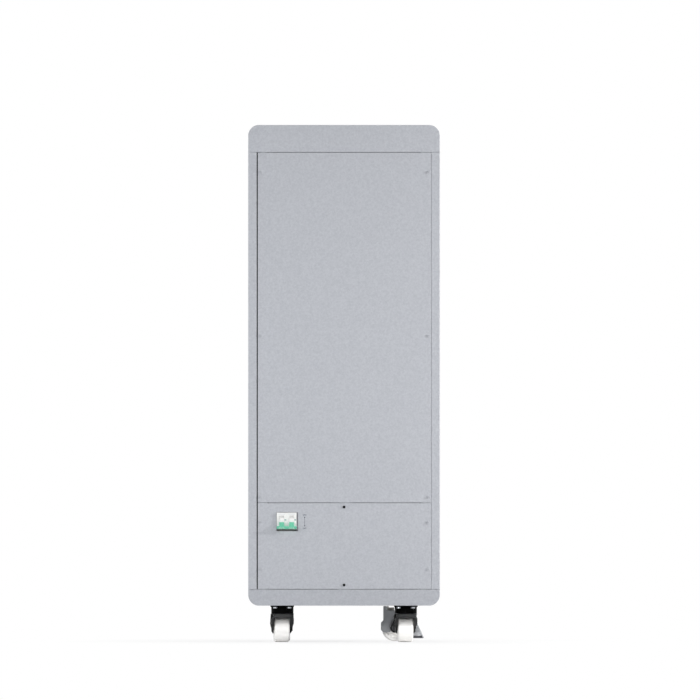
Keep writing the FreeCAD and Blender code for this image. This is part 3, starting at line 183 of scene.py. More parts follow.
finishes = {
    "cabinet_paint": powder_coat("powder_coated_steel", "#A8AAB1", "#BBBEC3"),
    # Continuous hot-dip zinc on steel tube and sheet: small dull crystals
    "galvanised_steel": spangled("galvanised_steel", "#8F9496", "#A9AEB0", 7.0, (0.38, 0.55)),
    # Bright zinc plate on steel fasteners: bluish white and satin
    "screw_steel": grainy("zinc_plated_steel", "#B9BDC2", "#D2D5D8", 0.6, 0.01, (0.26, 0.4), 4.0,
                          Metallic=1.0),
    # Black oxide on steel: nearly black and matte
    "black_screw_steel": grainy("black_oxide_steel", "#08080A", "#111113", 0.5, 0.01, (0.55, 0.7), 3.0,
                                **{"IOR": 1.5, "Specular IOR Level": 0.25}),
    # Electroless nickel on copper bar: warm white metal with rolling lines
    "busbar_metal": drawn_metal("nickel_plated_copper", "#BDB9AE", "#D6D2C8", 1.2, (0.05, 1.0, 1.0), 0.01,
                                (0.24, 0.36)),
    # Extruded and anodised aluminium: pale, with faint lines along the extrusion
    "plate_aluminium": drawn_metal("anodised_aluminium", "#AEB1B4", "#C2C5C8", 0.8, (1.0, 1.0, 0.04), 0.01,
                                   (0.34, 0.46)),
    # Polyester film shrunk round an aluminium can: blue and glossy with soft waves
    "cell_aluminium": grainy("insulating_film", "#275893", "#316BAE", 14.0, 0.2, (0.2, 0.3), 40.0, IOR=1.57),
    # Moulded white nylon of the breaker: slightly warm, with a spark-eroded grain
    "breaker_plastic": grainy("moulded_white_nylon", "#E9E9E7", "#F2F2F0", 0.5, 0.02, (0.42, 0.52), 9.0,
                              IOR=1.53),
    # Moulded green nylon of the lever: smooth, with a soft sheen
    "toggle_plastic": grainy("moulded_green_nylon", "#61C39D", "#70CAA9", 0.6, 0.015, (0.34, 0.44), 5.0,
                             IOR=1.53),
    "board_laminate": solder_mask(),
    # Glazed ceramic tube: cream white and glossy
    "fuse_ceramic": grainy("glazed_ceramic", "#DEDACE", "#E8E5DB", 2.0, 0.02, (0.12, 0.2), 12.0, IOR=1.5),
    # Moulded red polyamide: saturated, with a fine grain
    "red_plastic": grainy("moulded_red_polyamide", "#A81F1A", "#B92B24", 0.5, 0.02, (0.4, 0.5), 8.0,
                          IOR=1.53),
    # Moulded black polyamide: dark, with a fine grain
    "black_plastic": grainy("moulded_black_polyamide", "#17181A", "#202124", 0.5, 0.02, (0.42, 0.54), 8.0,
                            IOR=1.53),
    # Turned brass: yellow, with fine rings from the lathe
    "stud_brass": drawn_metal("turned_brass", "#B8934A", "#D1AE66", 0.4, (0.3, 1.0, 0.3), 0.01, (0.2, 0.32)),
    # Turned stainless steel: pale, with fine rings from the lathe
    "bezel_steel": drawn_metal("turned_stainless_steel", "#B3B5B7", "#CBCDCF", 0.4, (0.3, 1.0, 0.3), 0.01,
                               (0.2, 0.32)),
    # Black electrocoat on pressed steel: deep black and smooth
    "caster_steel": grainy("electrocoated_steel", "#020202", "#050505", 0.8, 0.01, (0.4, 0.5), 6.0,
                           **{"IOR": 1.5, "Specular IOR Level": 0.03}),
    # Ground bearing steel with a film of oil
    "bearing_steel": drawn_metal("ground_bearing_steel", "#808386", "#999C9E", 0.5, (1.0, 1.0, 0.1), 0.01,
                                 (0.2, 0.3)),
    # Powder-coated pressed steel of the forks: charcoal and satin
    "fork_steel": grainy("coated_pressed_steel", "#18191A", "#202122", 0.9, 0.03, (0.36, 0.48), 8.0,
                         **{"IOR": 1.5, "Specular IOR Level": 0.32}),
    # Cast nylon wheel: milky white, with faint turning marks on the tread
    "wheel_nylon": grainy("cast_nylon", "#F8F6F2", "#FCFBF9", 1.5, 0.03, (0.34, 0.44), 20.0, IOR=1.53),
    # Black-passivated zinc plate on the axle and its nut
    "axle_steel": grainy("black_zinc_axle_steel", "#2E2F31", "#3A3B3E", 0.6, 0.01, (0.36, 0.48), 4.0,
                         Metallic=0.4),
    # Zinc plate on the pressed brake pedal: gray and satin
    "pedal_steel": grainy("zinc_plated_pressed_steel", "#C0C2C5", "#CCCED1", 0.8, 0.02, (0.4, 0.52), 7.0,
                          Metallic=0.35),
    # Moulded gray polyamide of the brake housings
    "housing_plastic": grainy("moulded_gray_polyamide", "#939598", "#9D9FA2", 0.6, 0.03, (0.46, 0.58), 8.0,
                              IOR=1.53),
}

node_slot = {row["node"]: row["material_slot"] for row in frame["record"]["subparts"]}
body_of_node = {}
for body, members in frame["record"]["behaviour"]["bodies"].items():
    for member in members:
        body_of_node[member] = body


def wear(obj, finish):
    obj.data.materials.clear()
    obj.data.materials.append(finish)


def deselect():
    if bpy.context.object and bpy.context.object.mode != "OBJECT":
        bpy.ops.object.mode_set(mode="OBJECT")
    bpy.ops.object.select_all(action="DESELECT")


def pick(*objects):
    deselect()
    for obj in objects:
        obj.select_set(True)
    bpy.context.view_layer.objects.active = objects[0]


def settle(obj, body, slot_name, *replaced):
    # Finished piece: place in its mesh, the finish of its record slot, and its body
    pick(obj)
    bpy.ops.object.transform_apply(location=True, rotation=True, scale=True)
    wear(obj, finishes[slot_name])
    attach(obj, body)
    if replaced:
        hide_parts(*replaced)


def apply_modifier(obj, kind, **settings):
    pick(obj)
    modifier = obj.modifiers.new(kind.lower(), kind)
    for key, value in settings.items():
        setattr(modifier, key, value)
    bpy.ops.object.modifier_apply(modifier=modifier.name)


def smooth_faces(obj, degrees):
    # Smooth shading that keeps flat faces flat
    pick(obj)
    bpy.ops.object.shade_smooth_by_angle(angle=math.radians(degrees))
    apply_modifier(obj, "WEIGHTED_NORMAL", weight=100, keep_sharp=True)


# Edges of a CAD copy that turn by less than this many degrees belong to a round
round_angle = 32


def smooth_copy(node):
    # Merged copy of a CAD node with smooth rounds, which stands for it
    source = frame["nodes"][node]
    obj = bpy.data.objects.new(node + "_surface", source.data.copy())
    bpy.context.scene.collection.objects.link(obj)
    pick(obj)
    bpy.ops.mesh.customdata_custom_splitnormals_clear()
    bpy.ops.object.mode_set(mode="EDIT")
    bpy.ops.mesh.select_all(action="SELECT")
    bpy.ops.mesh.remove_doubles(threshold=weld_distance)
    bpy.ops.object.mode_set(mode="OBJECT")
    smooth_faces(obj, round_angle)
    settle(obj, body_of_node[node], node_slot[node], node)


for node, obj in frame["nodes"].items():
    wear(obj, finishes[node_slot[node]])

rounded = ["top_cap", "base_tray", "side_panel_left", "side_panel_right", "upper_cover", "lower_cover",
           "back_upper_cover", "back_lower_cover", "breaker_poles", "breaker_drums", "breaker_toggle",
           "terminal_base_positive", "terminal_base_negative", "button_bezel", "power_button",
           "caster_plates", "main_fuse", "contactor"]
rounded += [node for node in frame["nodes"]
            if node.startswith(("caster_fork", "caster_wheel", "brake_housing", "brake_pedal"))]
for node in rounded:
    smooth_copy(node)
# The tray wears the cabinet paint one shade darker: painted shade for the light falling off towards the
# bottom
wear(bpy.data.objects["base_tray_surface"], powder_coat("tray_steel_painted_shade", "#A2A4AB", "#B5B8BD"))

front_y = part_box("lower_cover")[0].y
back_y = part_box("back_lower_cover")[1].y

# Modelling helpers. Sizes and places are in millimetres.

# Corners are told apart with this margin
near = 0.01


def choose(obj, kind, test):
    # Selects corners, edges or faces of a piece in edit mode, by a test of their middle
    pick(obj)
    bpy.ops.object.mode_set(mode="EDIT")
    bpy.ops.mesh.select_mode(type=kind)
    bpy.ops.mesh.select_all(action="DESELECT")
    mesh = bmesh.from_edit_mesh(obj.data)
    for item in {"VERT": mesh.verts, "EDGE": mesh.edges, "FACE": mesh.faces}[kind]:
        corners = [item.co] if kind == "VERT" else [corner.co for corner in item.verts]
        if test(sum(corners, Vector()) / len(corners) / mm):
            item.select_set(True)
    bmesh.update_edit_mesh(obj.data)


def start_block(name, low, high):
    # Block between two opposite corners
    deselect()
    middle = [(a + b) / 2 * mm for a, b in zip(low, high)]
    size = [(b - a) * mm for a, b in zip(low, high)]
    bpy.ops.mesh.primitive_cube_add(size=1.0, location=middle, scale=size)
    return name_and_apply(name)


def start_rod(name, place, radius, length, vertices=48):
    # Rod along y from a place on its axis
    deselect()
    x, y, z = place
    bpy.ops.mesh.primitive_cylinder_add(vertices=vertices, radius=radius * mm, depth=length * mm,
                                        location=(x * mm, (y + length / 2) * mm, z * mm),
                                        rotation=(math.radians(90), 0, 0))
    return name_and_apply(name)


def start_corner(name, place):
    # A single corner, from which a profile is drawn
    deselect()
    bpy.ops.mesh.primitive_plane_add(size=mm, location=[value * mm for value in place])
    obj = name_and_apply(name)
    bpy.ops.object.mode_set(mode="EDIT")
    bpy.ops.mesh.select_mode(type="VERT")
    bpy.ops.mesh.select_all(action="SELECT")
    bpy.ops.mesh.merge(type="CENTER")
    return obj


def draw_on(step):
    # Extrudes what is selected by a step
    bpy.ops.mesh.extrude_region_move(TRANSFORM_OT_translate={"value": [value * mm for value in step]})


def name_and_apply(name):
    obj = bpy.context.object
    obj.name = name
    bpy.ops.object.transform_apply(location=True, rotation=True, scale=True)
    return obj


def round_edges(obj, width, segments=3):
    # Rounds every edge that turns by more than 40 degrees
    apply_modifier(obj, "BEVEL", width=width * mm, segments=segments, limit_method="ANGLE",
                   angle_limit=math.radians(40))
    smooth_faces(obj, 50)


def joined(name, pieces):
    pick(*pieces)
    if len(pieces) > 1:
        bpy.ops.object.join()
    obj = bpy.context.object
    obj.name = name
    return obj


def placed_copy(source, place, turn=0.0):
    # Copy with its own mesh, turned about z and moved
    obj = bpy.data.objects.new(source.name + "_copy", source.data.copy())
    bpy.context.scene.collection.objects.link(obj)
    obj.location = [value * mm for value in place]
    obj.rotation_euler = (0.0, 0.0, turn)
    pick(obj)
    bpy.ops.object.transform_apply(location=True, rotation=True, scale=True)
    return obj


def carve(obj, cutter):
    # Takes the cutter's shape out of the piece
    pick(obj)
    modifier = obj.modifiers.new("recess", "BOOLEAN")
    modifier.object = cutter
    modifier.operation = "DIFFERENCE"
    modifier.solver = "EXACT"
    bpy.ops.object.modifier_apply(modifier=modifier.name)
    bpy.data.objects.remove(cutter)


face = front_y / mm
back = back_y / mm

# Screws of the covers

side_head_radius = 4.0
centre_head_radius = 3.7
head_height = 2.4
head_round = 1.1
# Half the width of a recess slot, the part of the radius that it reaches over, and how its floor narrows
cross_half = 0.45
cross_share = 0.62
floor_share = 0.75
recess_depth = 1.5
shank_radius = 2.0
shank_length = 10.0


def model_screw(name, radius):
    # Pan head with a cross recess towards -y, its seat at the origin, and a shank behind
    head = start_rod(name, (0, -head_height, 0), radius, head_height)
    choose(head, "FACE", lambda at: at.y > -near)
    bpy.ops.mesh.inset(thickness=(radius - shank_radius) * mm)
    draw_on((0, shank_length, 0))
    choose(head, "EDGE", lambda at: at.y < near - head_height)
    bpy.ops.mesh.bevel(offset=head_round * mm, segments=5, affect="EDGES")
    bpy.ops.object.mode_set(mode="OBJECT")
    reach = radius * cross_share
    front = -head_height - 1
    floor = recess_depth - head_height
    bars = [start_block("bar", (-x, front, -z), (x, floor, z))
            for x, z in ((reach, cross_half), (cross_half, reach))]
    for bar in bars:
        # The recess narrows towards its floor
        choose(bar, "FACE", lambda at: at.y > floor - near)
        bpy.ops.transform.resize(value=(floor_share, 1.0, floor_share))
        bpy.ops.object.mode_set(mode="OBJECT")
        carve(head, bar)
    smooth_faces(head, 35)
    return head


# Screws stand in two columns, five levels each, and two more on the middle line
screw_column = 228.0
side_levels = [198.5, 325.1, 394.3, 831.8, 1275.1]
side_places = [(side * screw_column, z) for side in (-1, 1) for z in side_levels]
centre_places = [(0.0, 156.0), (0.0, 367.6)]


def make_screws():
    painted = model_screw("painted_screw", side_head_radius)
    blackened = model_screw("blackened_screw", centre_head_radius)
    sides = [placed_copy(painted, (x, face, z)) for x, z in side_places]
    centres = [placed_copy(blackened, (x, face, z)) for x, z in centre_places]
    backs = [placed_copy(painted, (x, back, z), math.pi) for x, z in side_places + centre_places]
    settle(joined("cover_screws_sides", sides), "cabinet", "screw_steel", "side_screws")
    settle(joined("cover_screws_centre", centres), "cabinet", "black_screw_steel", "centre_screws")
    settle(joined("cover_screws_back", backs), "cabinet", "screw_steel", "back_screws")
    # The heads at the sides and at the back are painted with the covers
    for name in ("cover_screws_sides", "cover_screws_back"):
        wear(bpy.data.objects[name], finishes["cabinet_paint"])
    bpy.data.objects.remove(painted)
    bpy.data.objects.remove(blackened)


make_screws()

# Nearly black strips in the wide gap at the left edge of the covers: painted shade for the dark gap

# Painted shade in the gap: nearly black, matte, with faint lines along its length
finishes["seal_rubber"] = grainy("gap_painted_shade", "#0C0D0E", "#131415", 1.0, 0.02, (0.7, 0.85), 12.0,
                                 IOR=1.5)
gap_strip_left = -237.2
gap_strip_right = -234.2
gap_strip_foot = 145.0
gap_strip_head = 1330.1
# Depths of the strip's two sides behind the covers' outer face
gap_strip_outer = 2.2
gap_strip_inner = 7.0


def make_gap_strips():
    for name, y0, y1 in (("gap_shade_front", face + gap_strip_outer, face + gap_strip_inner),
                         ("gap_shade_back", back - gap_strip_inner, back - gap_strip_outer)):
        seal = start_block(name, (gap_strip_left, y0, gap_strip_foot), (gap_strip_right, y1, gap_strip_head))
        round_edges(seal, 0.9, 4)
        # The strip's near black is painted shade in the gap
        wear(seal, finishes["seal_rubber"])
        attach(seal, "cabinet")


make_gap_strips()

# Breaker details

poles_low, poles_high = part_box("breaker_poles")
nose = poles_low.y / mm
breaker_x = (poles_low.x + poles_high.x) / 2 / mm
breaker_z = (poles_low.z + poles_high.z) / 2 / mm
pole_width = (poles_high.x - poles_low.x) / 2 / mm
pole_places = [breaker_x - pole_width / 2, breaker_x + pole_width / 2]
# At rest the lever hangs this far below level. Its bar's face is tie_radius from the drums' axis.
throw = math.radians(42)
drum_y = nose + 9.0
tie_radius = 29.6
letter_height = 4.2

# Moulded polycarbonate of the position flags: pale bluish green and glossy
finishes["flag_plastic"] = grainy("moulded_polycarbonate", "#93B9B3", "#A1C4BF", 0.8, 0.01,
                                  (0.15, 0.22), 3.0, IOR=1.58)
# White pad-printed letters. The OFF letters on the lever bar are print and also a painted highlight for the
# bar's lighter middle
finishes["white_ink"] = grainy("pad_printed_white_ink", "#E9EFEC", "#F4F7F5", 0.5, 0.005, (0.4, 0.5), 2.0)
# White label film on the breaker: smooth and matte
finishes["label_film"] = grainy("matte_label_film", "#E1E2E2", "#E8E9E9", 1.0, 0.005, (0.45, 0.55), 5.0,
                                IOR=1.5)
# Height of a capital letter as a share of the font's size
capital_share = 0.7
# Each letter's outline is widened by this, as ink spreads
ink_spread = 0.1


def print_word(name, word, place, tilt, depth, spread=1.0):
    # Letters with their middle at a place, tilted back from upright, some spread apart
    deselect()
    bpy.ops.object.text_add(location=[value * mm for value in place],
                            rotation=(math.radians(90) + tilt, 0, 0))
    text = bpy.context.object
    text.data.body = word
    text.data.size = letter_height * mm / capital_share
    text.data.align_x = "CENTER"
    text.data.align_y = "CENTER"
    text.data.space_character = spread
    text.data.extrude = depth / 2 * mm
    text.data.offset = ink_spread * mm
    bpy.ops.object.convert(target="MESH")
    pick(bpy.context.object)
    return name_and_apply(name)


# The flag lies in its window, right of each pole's middle, from these sides and levels
flag_left = 7.3
flag_right = 12.5
flag_bottom = 1.0
flag_top = 4.2
# The label's half width and levels. It stands a little proud of the nose.
label_half = 9.5
label_bottom = 15.6
label_top = 20.4
label_proud = 0.15
label_round = 0.8


def make_flag(x):
    flag = start_block("flag", (x + flag_left, nose + 0.75, breaker_z + flag_bottom),
                       (x + flag_right, nose + 1.2, breaker_z + flag_top))
    round_edges(flag, 0.15)
    return flag


def make_label(x):
    # Film with rounded corners
    label = start_block("label", (x - label_half, nose - label_proud, breaker_z + label_bottom),
                        (x + label_half, nose + 0.05, breaker_z + label_top))
    middle = breaker_z + (label_bottom + label_top) / 2
    choose(label, "EDGE",
           lambda at: abs(abs(at.x - x) - label_half) < near and abs(at.z - middle) > 2)
    bpy.ops.mesh.bevel(offset=label_round * mm, segments=4, affect="EDGES")
    bpy.ops.object.mode_set(mode="OBJECT")
    smooth_faces(label, 40)
    return label


def make_breaker_details():
    flags = []
    labels = []
    for x in pole_places:
        flags.append(make_flag(x))
        labels.append(make_label(x))
    for name, pieces, finish in (("position_flags", flags, "flag_plastic"),
                                 ("breaker_labels", labels, "label_film")):
        obj = joined(name, pieces)
        wear(obj, finishes[finish])
        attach(obj, "cabinet")
    tie_y = drum_y - tie_radius * math.cos(throw)
    tie_z = breaker_z - tie_radius * math.sin(throw)
    # White OFF letters across the bar's face: print, and also a painted highlight for the bar's lighter
    # middle
    word = joined("lever_print_and_highlight", [print_word("word", "OFF", (x, tie_y, tie_z), throw, 0.2, 1.7)
                                  for x in pole_places])
    wear(word, finishes["white_ink"])
    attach(word, "breaker_lever")


make_breaker_details()

# Gray strips on the window's cut edge, mid gray and matte: painted shade for the dark gap round the breaker
finishes["trim_rubber"] = grainy("window_gap_painted_shade", "#7E7F84", "#88898E", 0.8, 0.02, (0.65, 0.8), 8.0,
                                 IOR=1.5)
# Depths of the trim's two faces behind the cover's face, and how far it hangs below the breaker's middle
trim_outer = 0.6
trim_inner = 4.0
trim_hang = 26.0
# Air between the trim and the poles at the left, right and top, and the trim's far sides there
trim_left = (0.2, 0.55)
trim_right = (0.4, 3.85)
trim_top = (0.2, 0.85)
half_nose_height = 22.5


def make_window_gap_shade():
    # Left, top and right sides. The lever swings past the lower one.
    left = poles_low.x / mm
    right = poles_high.x / mm
    top = breaker_z + half_nose_height
    y0 = face + trim_outer
    y1 = face + trim_inner
    foot = breaker_z - trim_hang
    x0, x1 = left - trim_left[1], left - trim_left[0]
    x2, x3 = right + trim_right[0], right + trim_right[1]
    z0, z1 = top + trim_top[0], top + trim_top[1]
    strips = [start_block("strip", (x0, y0, foot), (x1, y1, z0)),
              start_block("strip", (x0, y0, z0), (x3, y1, z1)),
              start_block("strip", (x2, y0, foot), (x3, y1, z0))]
    trim = joined("window_gap_shade", strips)
    round_edges(trim, 0.12)
    # The strips' mid gray is painted shade in the window's gap
    wear(trim, finishes["trim_rubber"])
    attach(trim, "cabinet")


make_window_gap_shade()

# Printed switch legend beside the breaker window: ON over OFF, with a line between two dots

legend_x = -107.0
on_level = 346.0
off_level = 309.4
dot_levels = (316.8, 339.7)
dot_radius = 1.8
line_half = 0.45
line_levels = (318.7, 337.8)
ink_thickness = 0.05
# Screen-printed ink: slate gray and matte
finishes["legend_ink"] = grainy("screen_printed_ink", "#4A4E5C", "#565B69", 0.7, 0.005, (0.5, 0.6), 2.0)


def make_legend():
    pieces = [print_word("legend_on", "ON", (legend_x, face, on_level), 0.0, ink_thickness),
              print_word("legend_off", "OFF", (legend_x, face, off_level), 0.0, ink_thickness)]
    y0 = face - ink_thickness / 2
    for z in dot_levels:
        pieces.append(start_rod("dot", (legend_x, y0, z), dot_radius, ink_thickness, 24))
    pieces.append(start_block("line", (legend_x - line_half, y0, line_levels[0]),
                              (legend_x + line_half, face + ink_thickness / 2, line_levels[1])))
    legend = joined("switch_legend", pieces)
    wear(legend, finishes["legend_ink"])
    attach(legend, "cabinet")


make_legend()

# Rear connections

terminal_z = 250.0
base_height = 12.0
terminal_places = [(-155.0, "minus"), (-45.0, "plus")]
button_x = 60.0
button_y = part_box("power_button")[1].y / mm
socket_places = (130.0, 150.0)
earth_place = (-100.0, 195.0)
washer_height = 1.6
# A stud's tip ends this far inside the CAD stud, with a small chamfer
tip_margin = 0.3
tip_chamfer = 0.4
# Shares of the pitch: depth of the groove, length of a flank and of the crest
groove_share = 0.55
flank_share = 0.45
crest_share = 0.1


def model_stud(name, radius, pitch, start, seat, reach, washer, nut_radius, nut_height):
    # Threaded stud along y with a washer and a chamfered nut, its seat at the given y
    groove = pitch * groove_share
    core = start_rod(name, (0, start, 0), radius - groove, seat + reach - start - tip_margin)
    choose(core, "EDGE", lambda at: at.y > seat + reach - tip_margin - 0.1)
    bpy.ops.mesh.bevel(offset=tip_chamfer * mm, segments=2, affect="EDGES")
    bpy.ops.object.mode_set(mode="OBJECT")
    thread = start_corner("thread", (radius - groove, seat, 0))
    draw_on((groove, pitch * flank_share, 0))
    draw_on((0, pitch * crest_share, 0))
    draw_on((-groove, pitch * flank_share, 0))
    bpy.ops.object.mode_set(mode="OBJECT")
    turns = int(reach / pitch) - 2
    apply_modifier(thread, "SCREW", axis="Y", angle=math.tau, screw_offset=pitch * mm, iterations=turns,
                   steps=32, render_steps=32, use_merge_vertices=True, merge_threshold=weld_distance)
    # A face closes the end of the last turn
    choose(thread, "VERT", lambda at: at.x > 0 and abs(at.z) < near and at.y > seat + turns * pitch - near)
    bpy.ops.mesh.edge_face_add()
    choose(thread, "FACE", lambda at: True)
    bpy.ops.mesh.normals_make_consistent(inside=False)
    bpy.ops.object.mode_set(mode="OBJECT")
    ring = start_rod("ring", (0, seat, 0), washer, washer_height)
    round_edges(ring, 0.25)
    nut = start_rod("nut", (0, seat + washer_height, 0), nut_radius, nut_height, 6)
    choose(nut, "EDGE", lambda at: abs(at.y - seat - washer_height - nut_height / 2) < near)
    bpy.ops.mesh.bevel(offset=1.2 * mm, segments=4, affect="EDGES")
    bpy.ops.object.mode_set(mode="OBJECT")
    round_edges(nut, 0.5)
    return joined(name, [core, thread, ring, nut])


def make_studs():
    # Places along y count from the back covers' face. The battery studs seat on their insulating bases.
    stud = model_stud("stud", radius=4.0, pitch=1.25, start=-34.0, seat=base_height, reach=22.0,
                      washer=8.0, nut_radius=7.5, nut_height=6.5)
    studs = [placed_copy(stud, (x, back, terminal_z)) for x, mark in terminal_places]
    settle(joined("battery_studs", studs), "cabinet", "stud_brass", "terminal_studs")
    bpy.data.objects.remove(stud)
    earth = model_stud("earth", radius=3.0, pitch=1.0, start=-10.0, seat=0.0, reach=18.0,
                       washer=6.0, nut_radius=5.75, nut_height=5.0)
    x, z = earth_place
    settle(joined("earth_connection", [placed_copy(earth, (x, back, z))]), "cabinet",
           node_slot["earth_stud"], "earth_stud")
    bpy.data.objects.remove(earth)


# Polarity marks: half a bar's length and width, height over the base, and place above the stud
mark_reach = 3.5
mark_half = 0.8
mark_height = 0.5
mark_rise = 15.5
# Raised marks start this far under the face that carries them
root = 0.1


def make_marks():
    # The upright bar of the plus is in two parts, above and below the level one
    for x, mark in terminal_places:
        y0 = back + base_height - root
        y1 = back + base_height + mark_height
        z = terminal_z + mark_rise
        bars = [start_block("bar", (x - mark_reach, y0, z - mark_half),
                            (x + mark_reach, y1, z + mark_half))]
        if mark == "plus":
            bars += [start_block("bar", (x - mark_half, y0, low), (x + mark_half, y1, high))
                     for low, high in ((z + mark_half, z + mark_reach), (z - mark_reach, z - mark_half))]
        for bar in bars:
            round_edges(bar, 0.2)
        obj = joined("polarity_" + mark, bars)
        wear(obj, finishes["white_ink"])
        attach(obj, "cabinet")


# Socket wires: their number, spacing and half width, their levels at the mouth, their ends and their drop
wire_count = 8
wire_pitch = 1.02
wire_half = 0.22
wire_bottom = 2.6
wire_top = 3.0
wire_inner = 9.5
wire_outer = 0.6
wire_drop = 2.6
# Gold plate on the wires: warm and polished
finishes["contact_gold"] = grainy("gold_plated_bronze", "#D9B257", "#E6C36C", 0.5, 0.002, (0.15, 0.22), 3.0,
                                  Metallic=1.0)


def make_contacts():
    # Spring wires slanting down from the roof of each socket
    wires = []
    for x in socket_places:
        for n in range(wire_count):
            at = x + (n - (wire_count - 1) / 2) * wire_pitch
            wire = start_block("wire", (at - wire_half, back - wire_inner, terminal_z + wire_bottom),
                               (at + wire_half, back + wire_outer, terminal_z + wire_top))
            choose(wire, "FACE", lambda middle: middle.y < back - wire_inner + 0.5)
            bpy.ops.transform.translate(value=(0, 0, -wire_drop * mm))
            bpy.ops.object.mode_set(mode="OBJECT")
            wires.append(wire)
    contacts = joined("socket_contacts", wires)
    wear(contacts, finishes["contact_gold"])
    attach(contacts, "cabinet")


# Power mark: the ring's inner radius, the strokes' width and height, the ring's gap in degrees, and the
# levels of the bar's ends above the button's middle
ring_radius = 3.4
stroke_width = 0.7
stroke_height = 0.2
ring_gap = 70
bar_bottom = 1.2
bar_top = 4.6


def make_power_mark():
    # Broken ring and bar, moulded on the button. The ring starts beside its gap at the top.
    across = math.sin(math.radians(ring_gap / 2))
    up = math.cos(math.radians(ring_gap / 2))
    ring = start_corner("ring", (button_x + ring_radius * across, button_y - root,
                                 terminal_z + ring_radius * up))
    draw_on((stroke_width * across, 0, stroke_width * up))
    draw_on((0, root + stroke_height, 0))
    draw_on((-stroke_width * across, 0, -stroke_width * up))
    bpy.ops.mesh.select_all(action="SELECT")
    bpy.ops.mesh.edge_face_add()
    bpy.ops.mesh.select_all(action="SELECT")
    bpy.ops.mesh.spin(steps=40, angle=math.radians(360 - ring_gap),
                      center=(button_x * mm, button_y * mm, terminal_z * mm), axis=(0, 1, 0))
    bpy.ops.mesh.select_all(action="SELECT")
    bpy.ops.mesh.remove_doubles(threshold=weld_distance)
    bpy.ops.mesh.normals_make_consistent(inside=False)
    bpy.ops.object.mode_set(mode="OBJECT")
    bar = start_block("bar", (button_x - stroke_width / 2, button_y - root, terminal_z + bar_bottom),
                      (button_x + stroke_width / 2, button_y + stroke_height, terminal_z + bar_top))
    mark = joined("power_mark", [ring, bar])
    wear(mark, finishes["legend_ink"])
    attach(mark, "power_button")


make_studs()
make_marks()
make_contacts()
make_power_mark()

# Casters

# Swivel axes of the casters with brakes, from the middle and from the front face, and turn in degrees
brake_places = {"rear_left": (-168.0, 318.0, 90.0), "rear_right": (168.0, 318.0, 180.0)}

# Moulded acetal of the lock pads: cream and smooth
finishes["pad_acetal"] = grainy("moulded_acetal", "#D2CFC6", "#DCDAD2", 0.6, 0.01, (0.35, 0.45), 5.0,
                                IOR=1.48)
# Dark gray pads on the pedals' tips, matte: painted shade for the pedal's shaded lower lip
finishes["pedal_tip_shade_gray"] = grainy("pedal_tip_painted_shade", "#55565A", "#616266", 1.2, 0.05, (0.7, 0.85), 8.0,
                                  IOR=1.5)

# Details of a brake, in the caster's own frame: x trails from the swivel to the wheel, and z is up.
# The lock pad sits on the housing's top.
housing_top = 83.2
pad_start = 31.2
pad_end = 46.4
pad_half = 8.0
pad_top = 91.4
post_length = 4.2
post_rise = 4.0
ear_start = 28.6
ear_end = 33.2
ear_bottom = 66.5
ear_thickness = 1.4
ear_lean = 7.2
ear_sides = (-24.4, 23.0)
tread_start = -49.5
tread_end = -19.0
tread_half = 13.2
tread_bottom = 7.6
tread_top = 14.6
# The tread's tip is cut back by this, and its upper edge by this much more
tip_cut = 0.6
tip_slope = 2.6


def model_pad():
    # The pad's far end stands up behind the circle of the bolt heads
    pad = start_block("pad", (pad_start, -pad_half, housing_top), (pad_end, pad_half, pad_top))
    choose(pad, "FACE", lambda at: at.x > pad_end - 0.1)
    draw_on((post_length, 0, 0))
    choose(pad, "FACE", lambda at: at.z > pad_top - 0.1 and at.x > pad_end + 0.1)
    draw_on((0, 0, post_rise))
    bpy.ops.object.mode_set(mode="OBJECT")
    round_edges(pad, 0.5)
    return pad


def model_ears():
    # Ears of the housing that close the wedge beside the fork
    ears = []
    for v in ear_sides:
        ear = start_block("ear", (ear_start, v, ear_bottom), (ear_end, v + ear_thickness, housing_top))
        choose(ear, "VERT", lambda at: at.x < ear_start + 0.1 and at.z > housing_top - 0.2)
        bpy.ops.transform.translate(value=(-ear_lean * mm, 0, 0))
        bpy.ops.object.mode_set(mode="OBJECT")
        ears.append(ear)
    ears = joined("ears", ears)
    round_edges(ears, 0.3)
    return ears


def model_tread():
    # The tip of the tread slopes back towards its upper edge
    tread = start_block("tread", (tread_start, -tread_half, tread_bottom),
                        (tread_end, tread_half, tread_top))
    choose(tread, "FACE", lambda at: at.x < tread_start + 0.5)
    bpy.ops.transform.translate(value=(tip_cut * mm, 0, 0))
    choose(tread, "VERT", lambda at: at.x < tread_start + 1.5 and at.z > tread_top - 0.6)
    bpy.ops.transform.translate(value=(tip_slope * mm, 0, 0))
    bpy.ops.object.mode_set(mode="OBJECT")
    round_edges(tread, 0.9)
    return tread


def make_brake_details():
    details = ((model_pad(), "lock_pad_", "caster_", "pad_acetal"),
               (model_ears(), "housing_ears_", "caster_", "housing_plastic"),
               # The pad's dark gray is painted shade on the pedal's lower lip
               (model_tread(), "pedal_tread_", "pedal_", "pedal_tip_shade_gray"))
    for name, (x, y, turn) in brake_places.items():
        for source, kind, body, finish in details:
            obj = placed_copy(source, (x, y + face, 0.0), math.radians(turn))
            obj.name = kind + name
            wear(obj, finishes[finish])
            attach(obj, body + name)
    for detail in details:
        bpy.data.objects.remove(detail[0])


make_brake_details()

# Floor, light and camera, in metres and watts

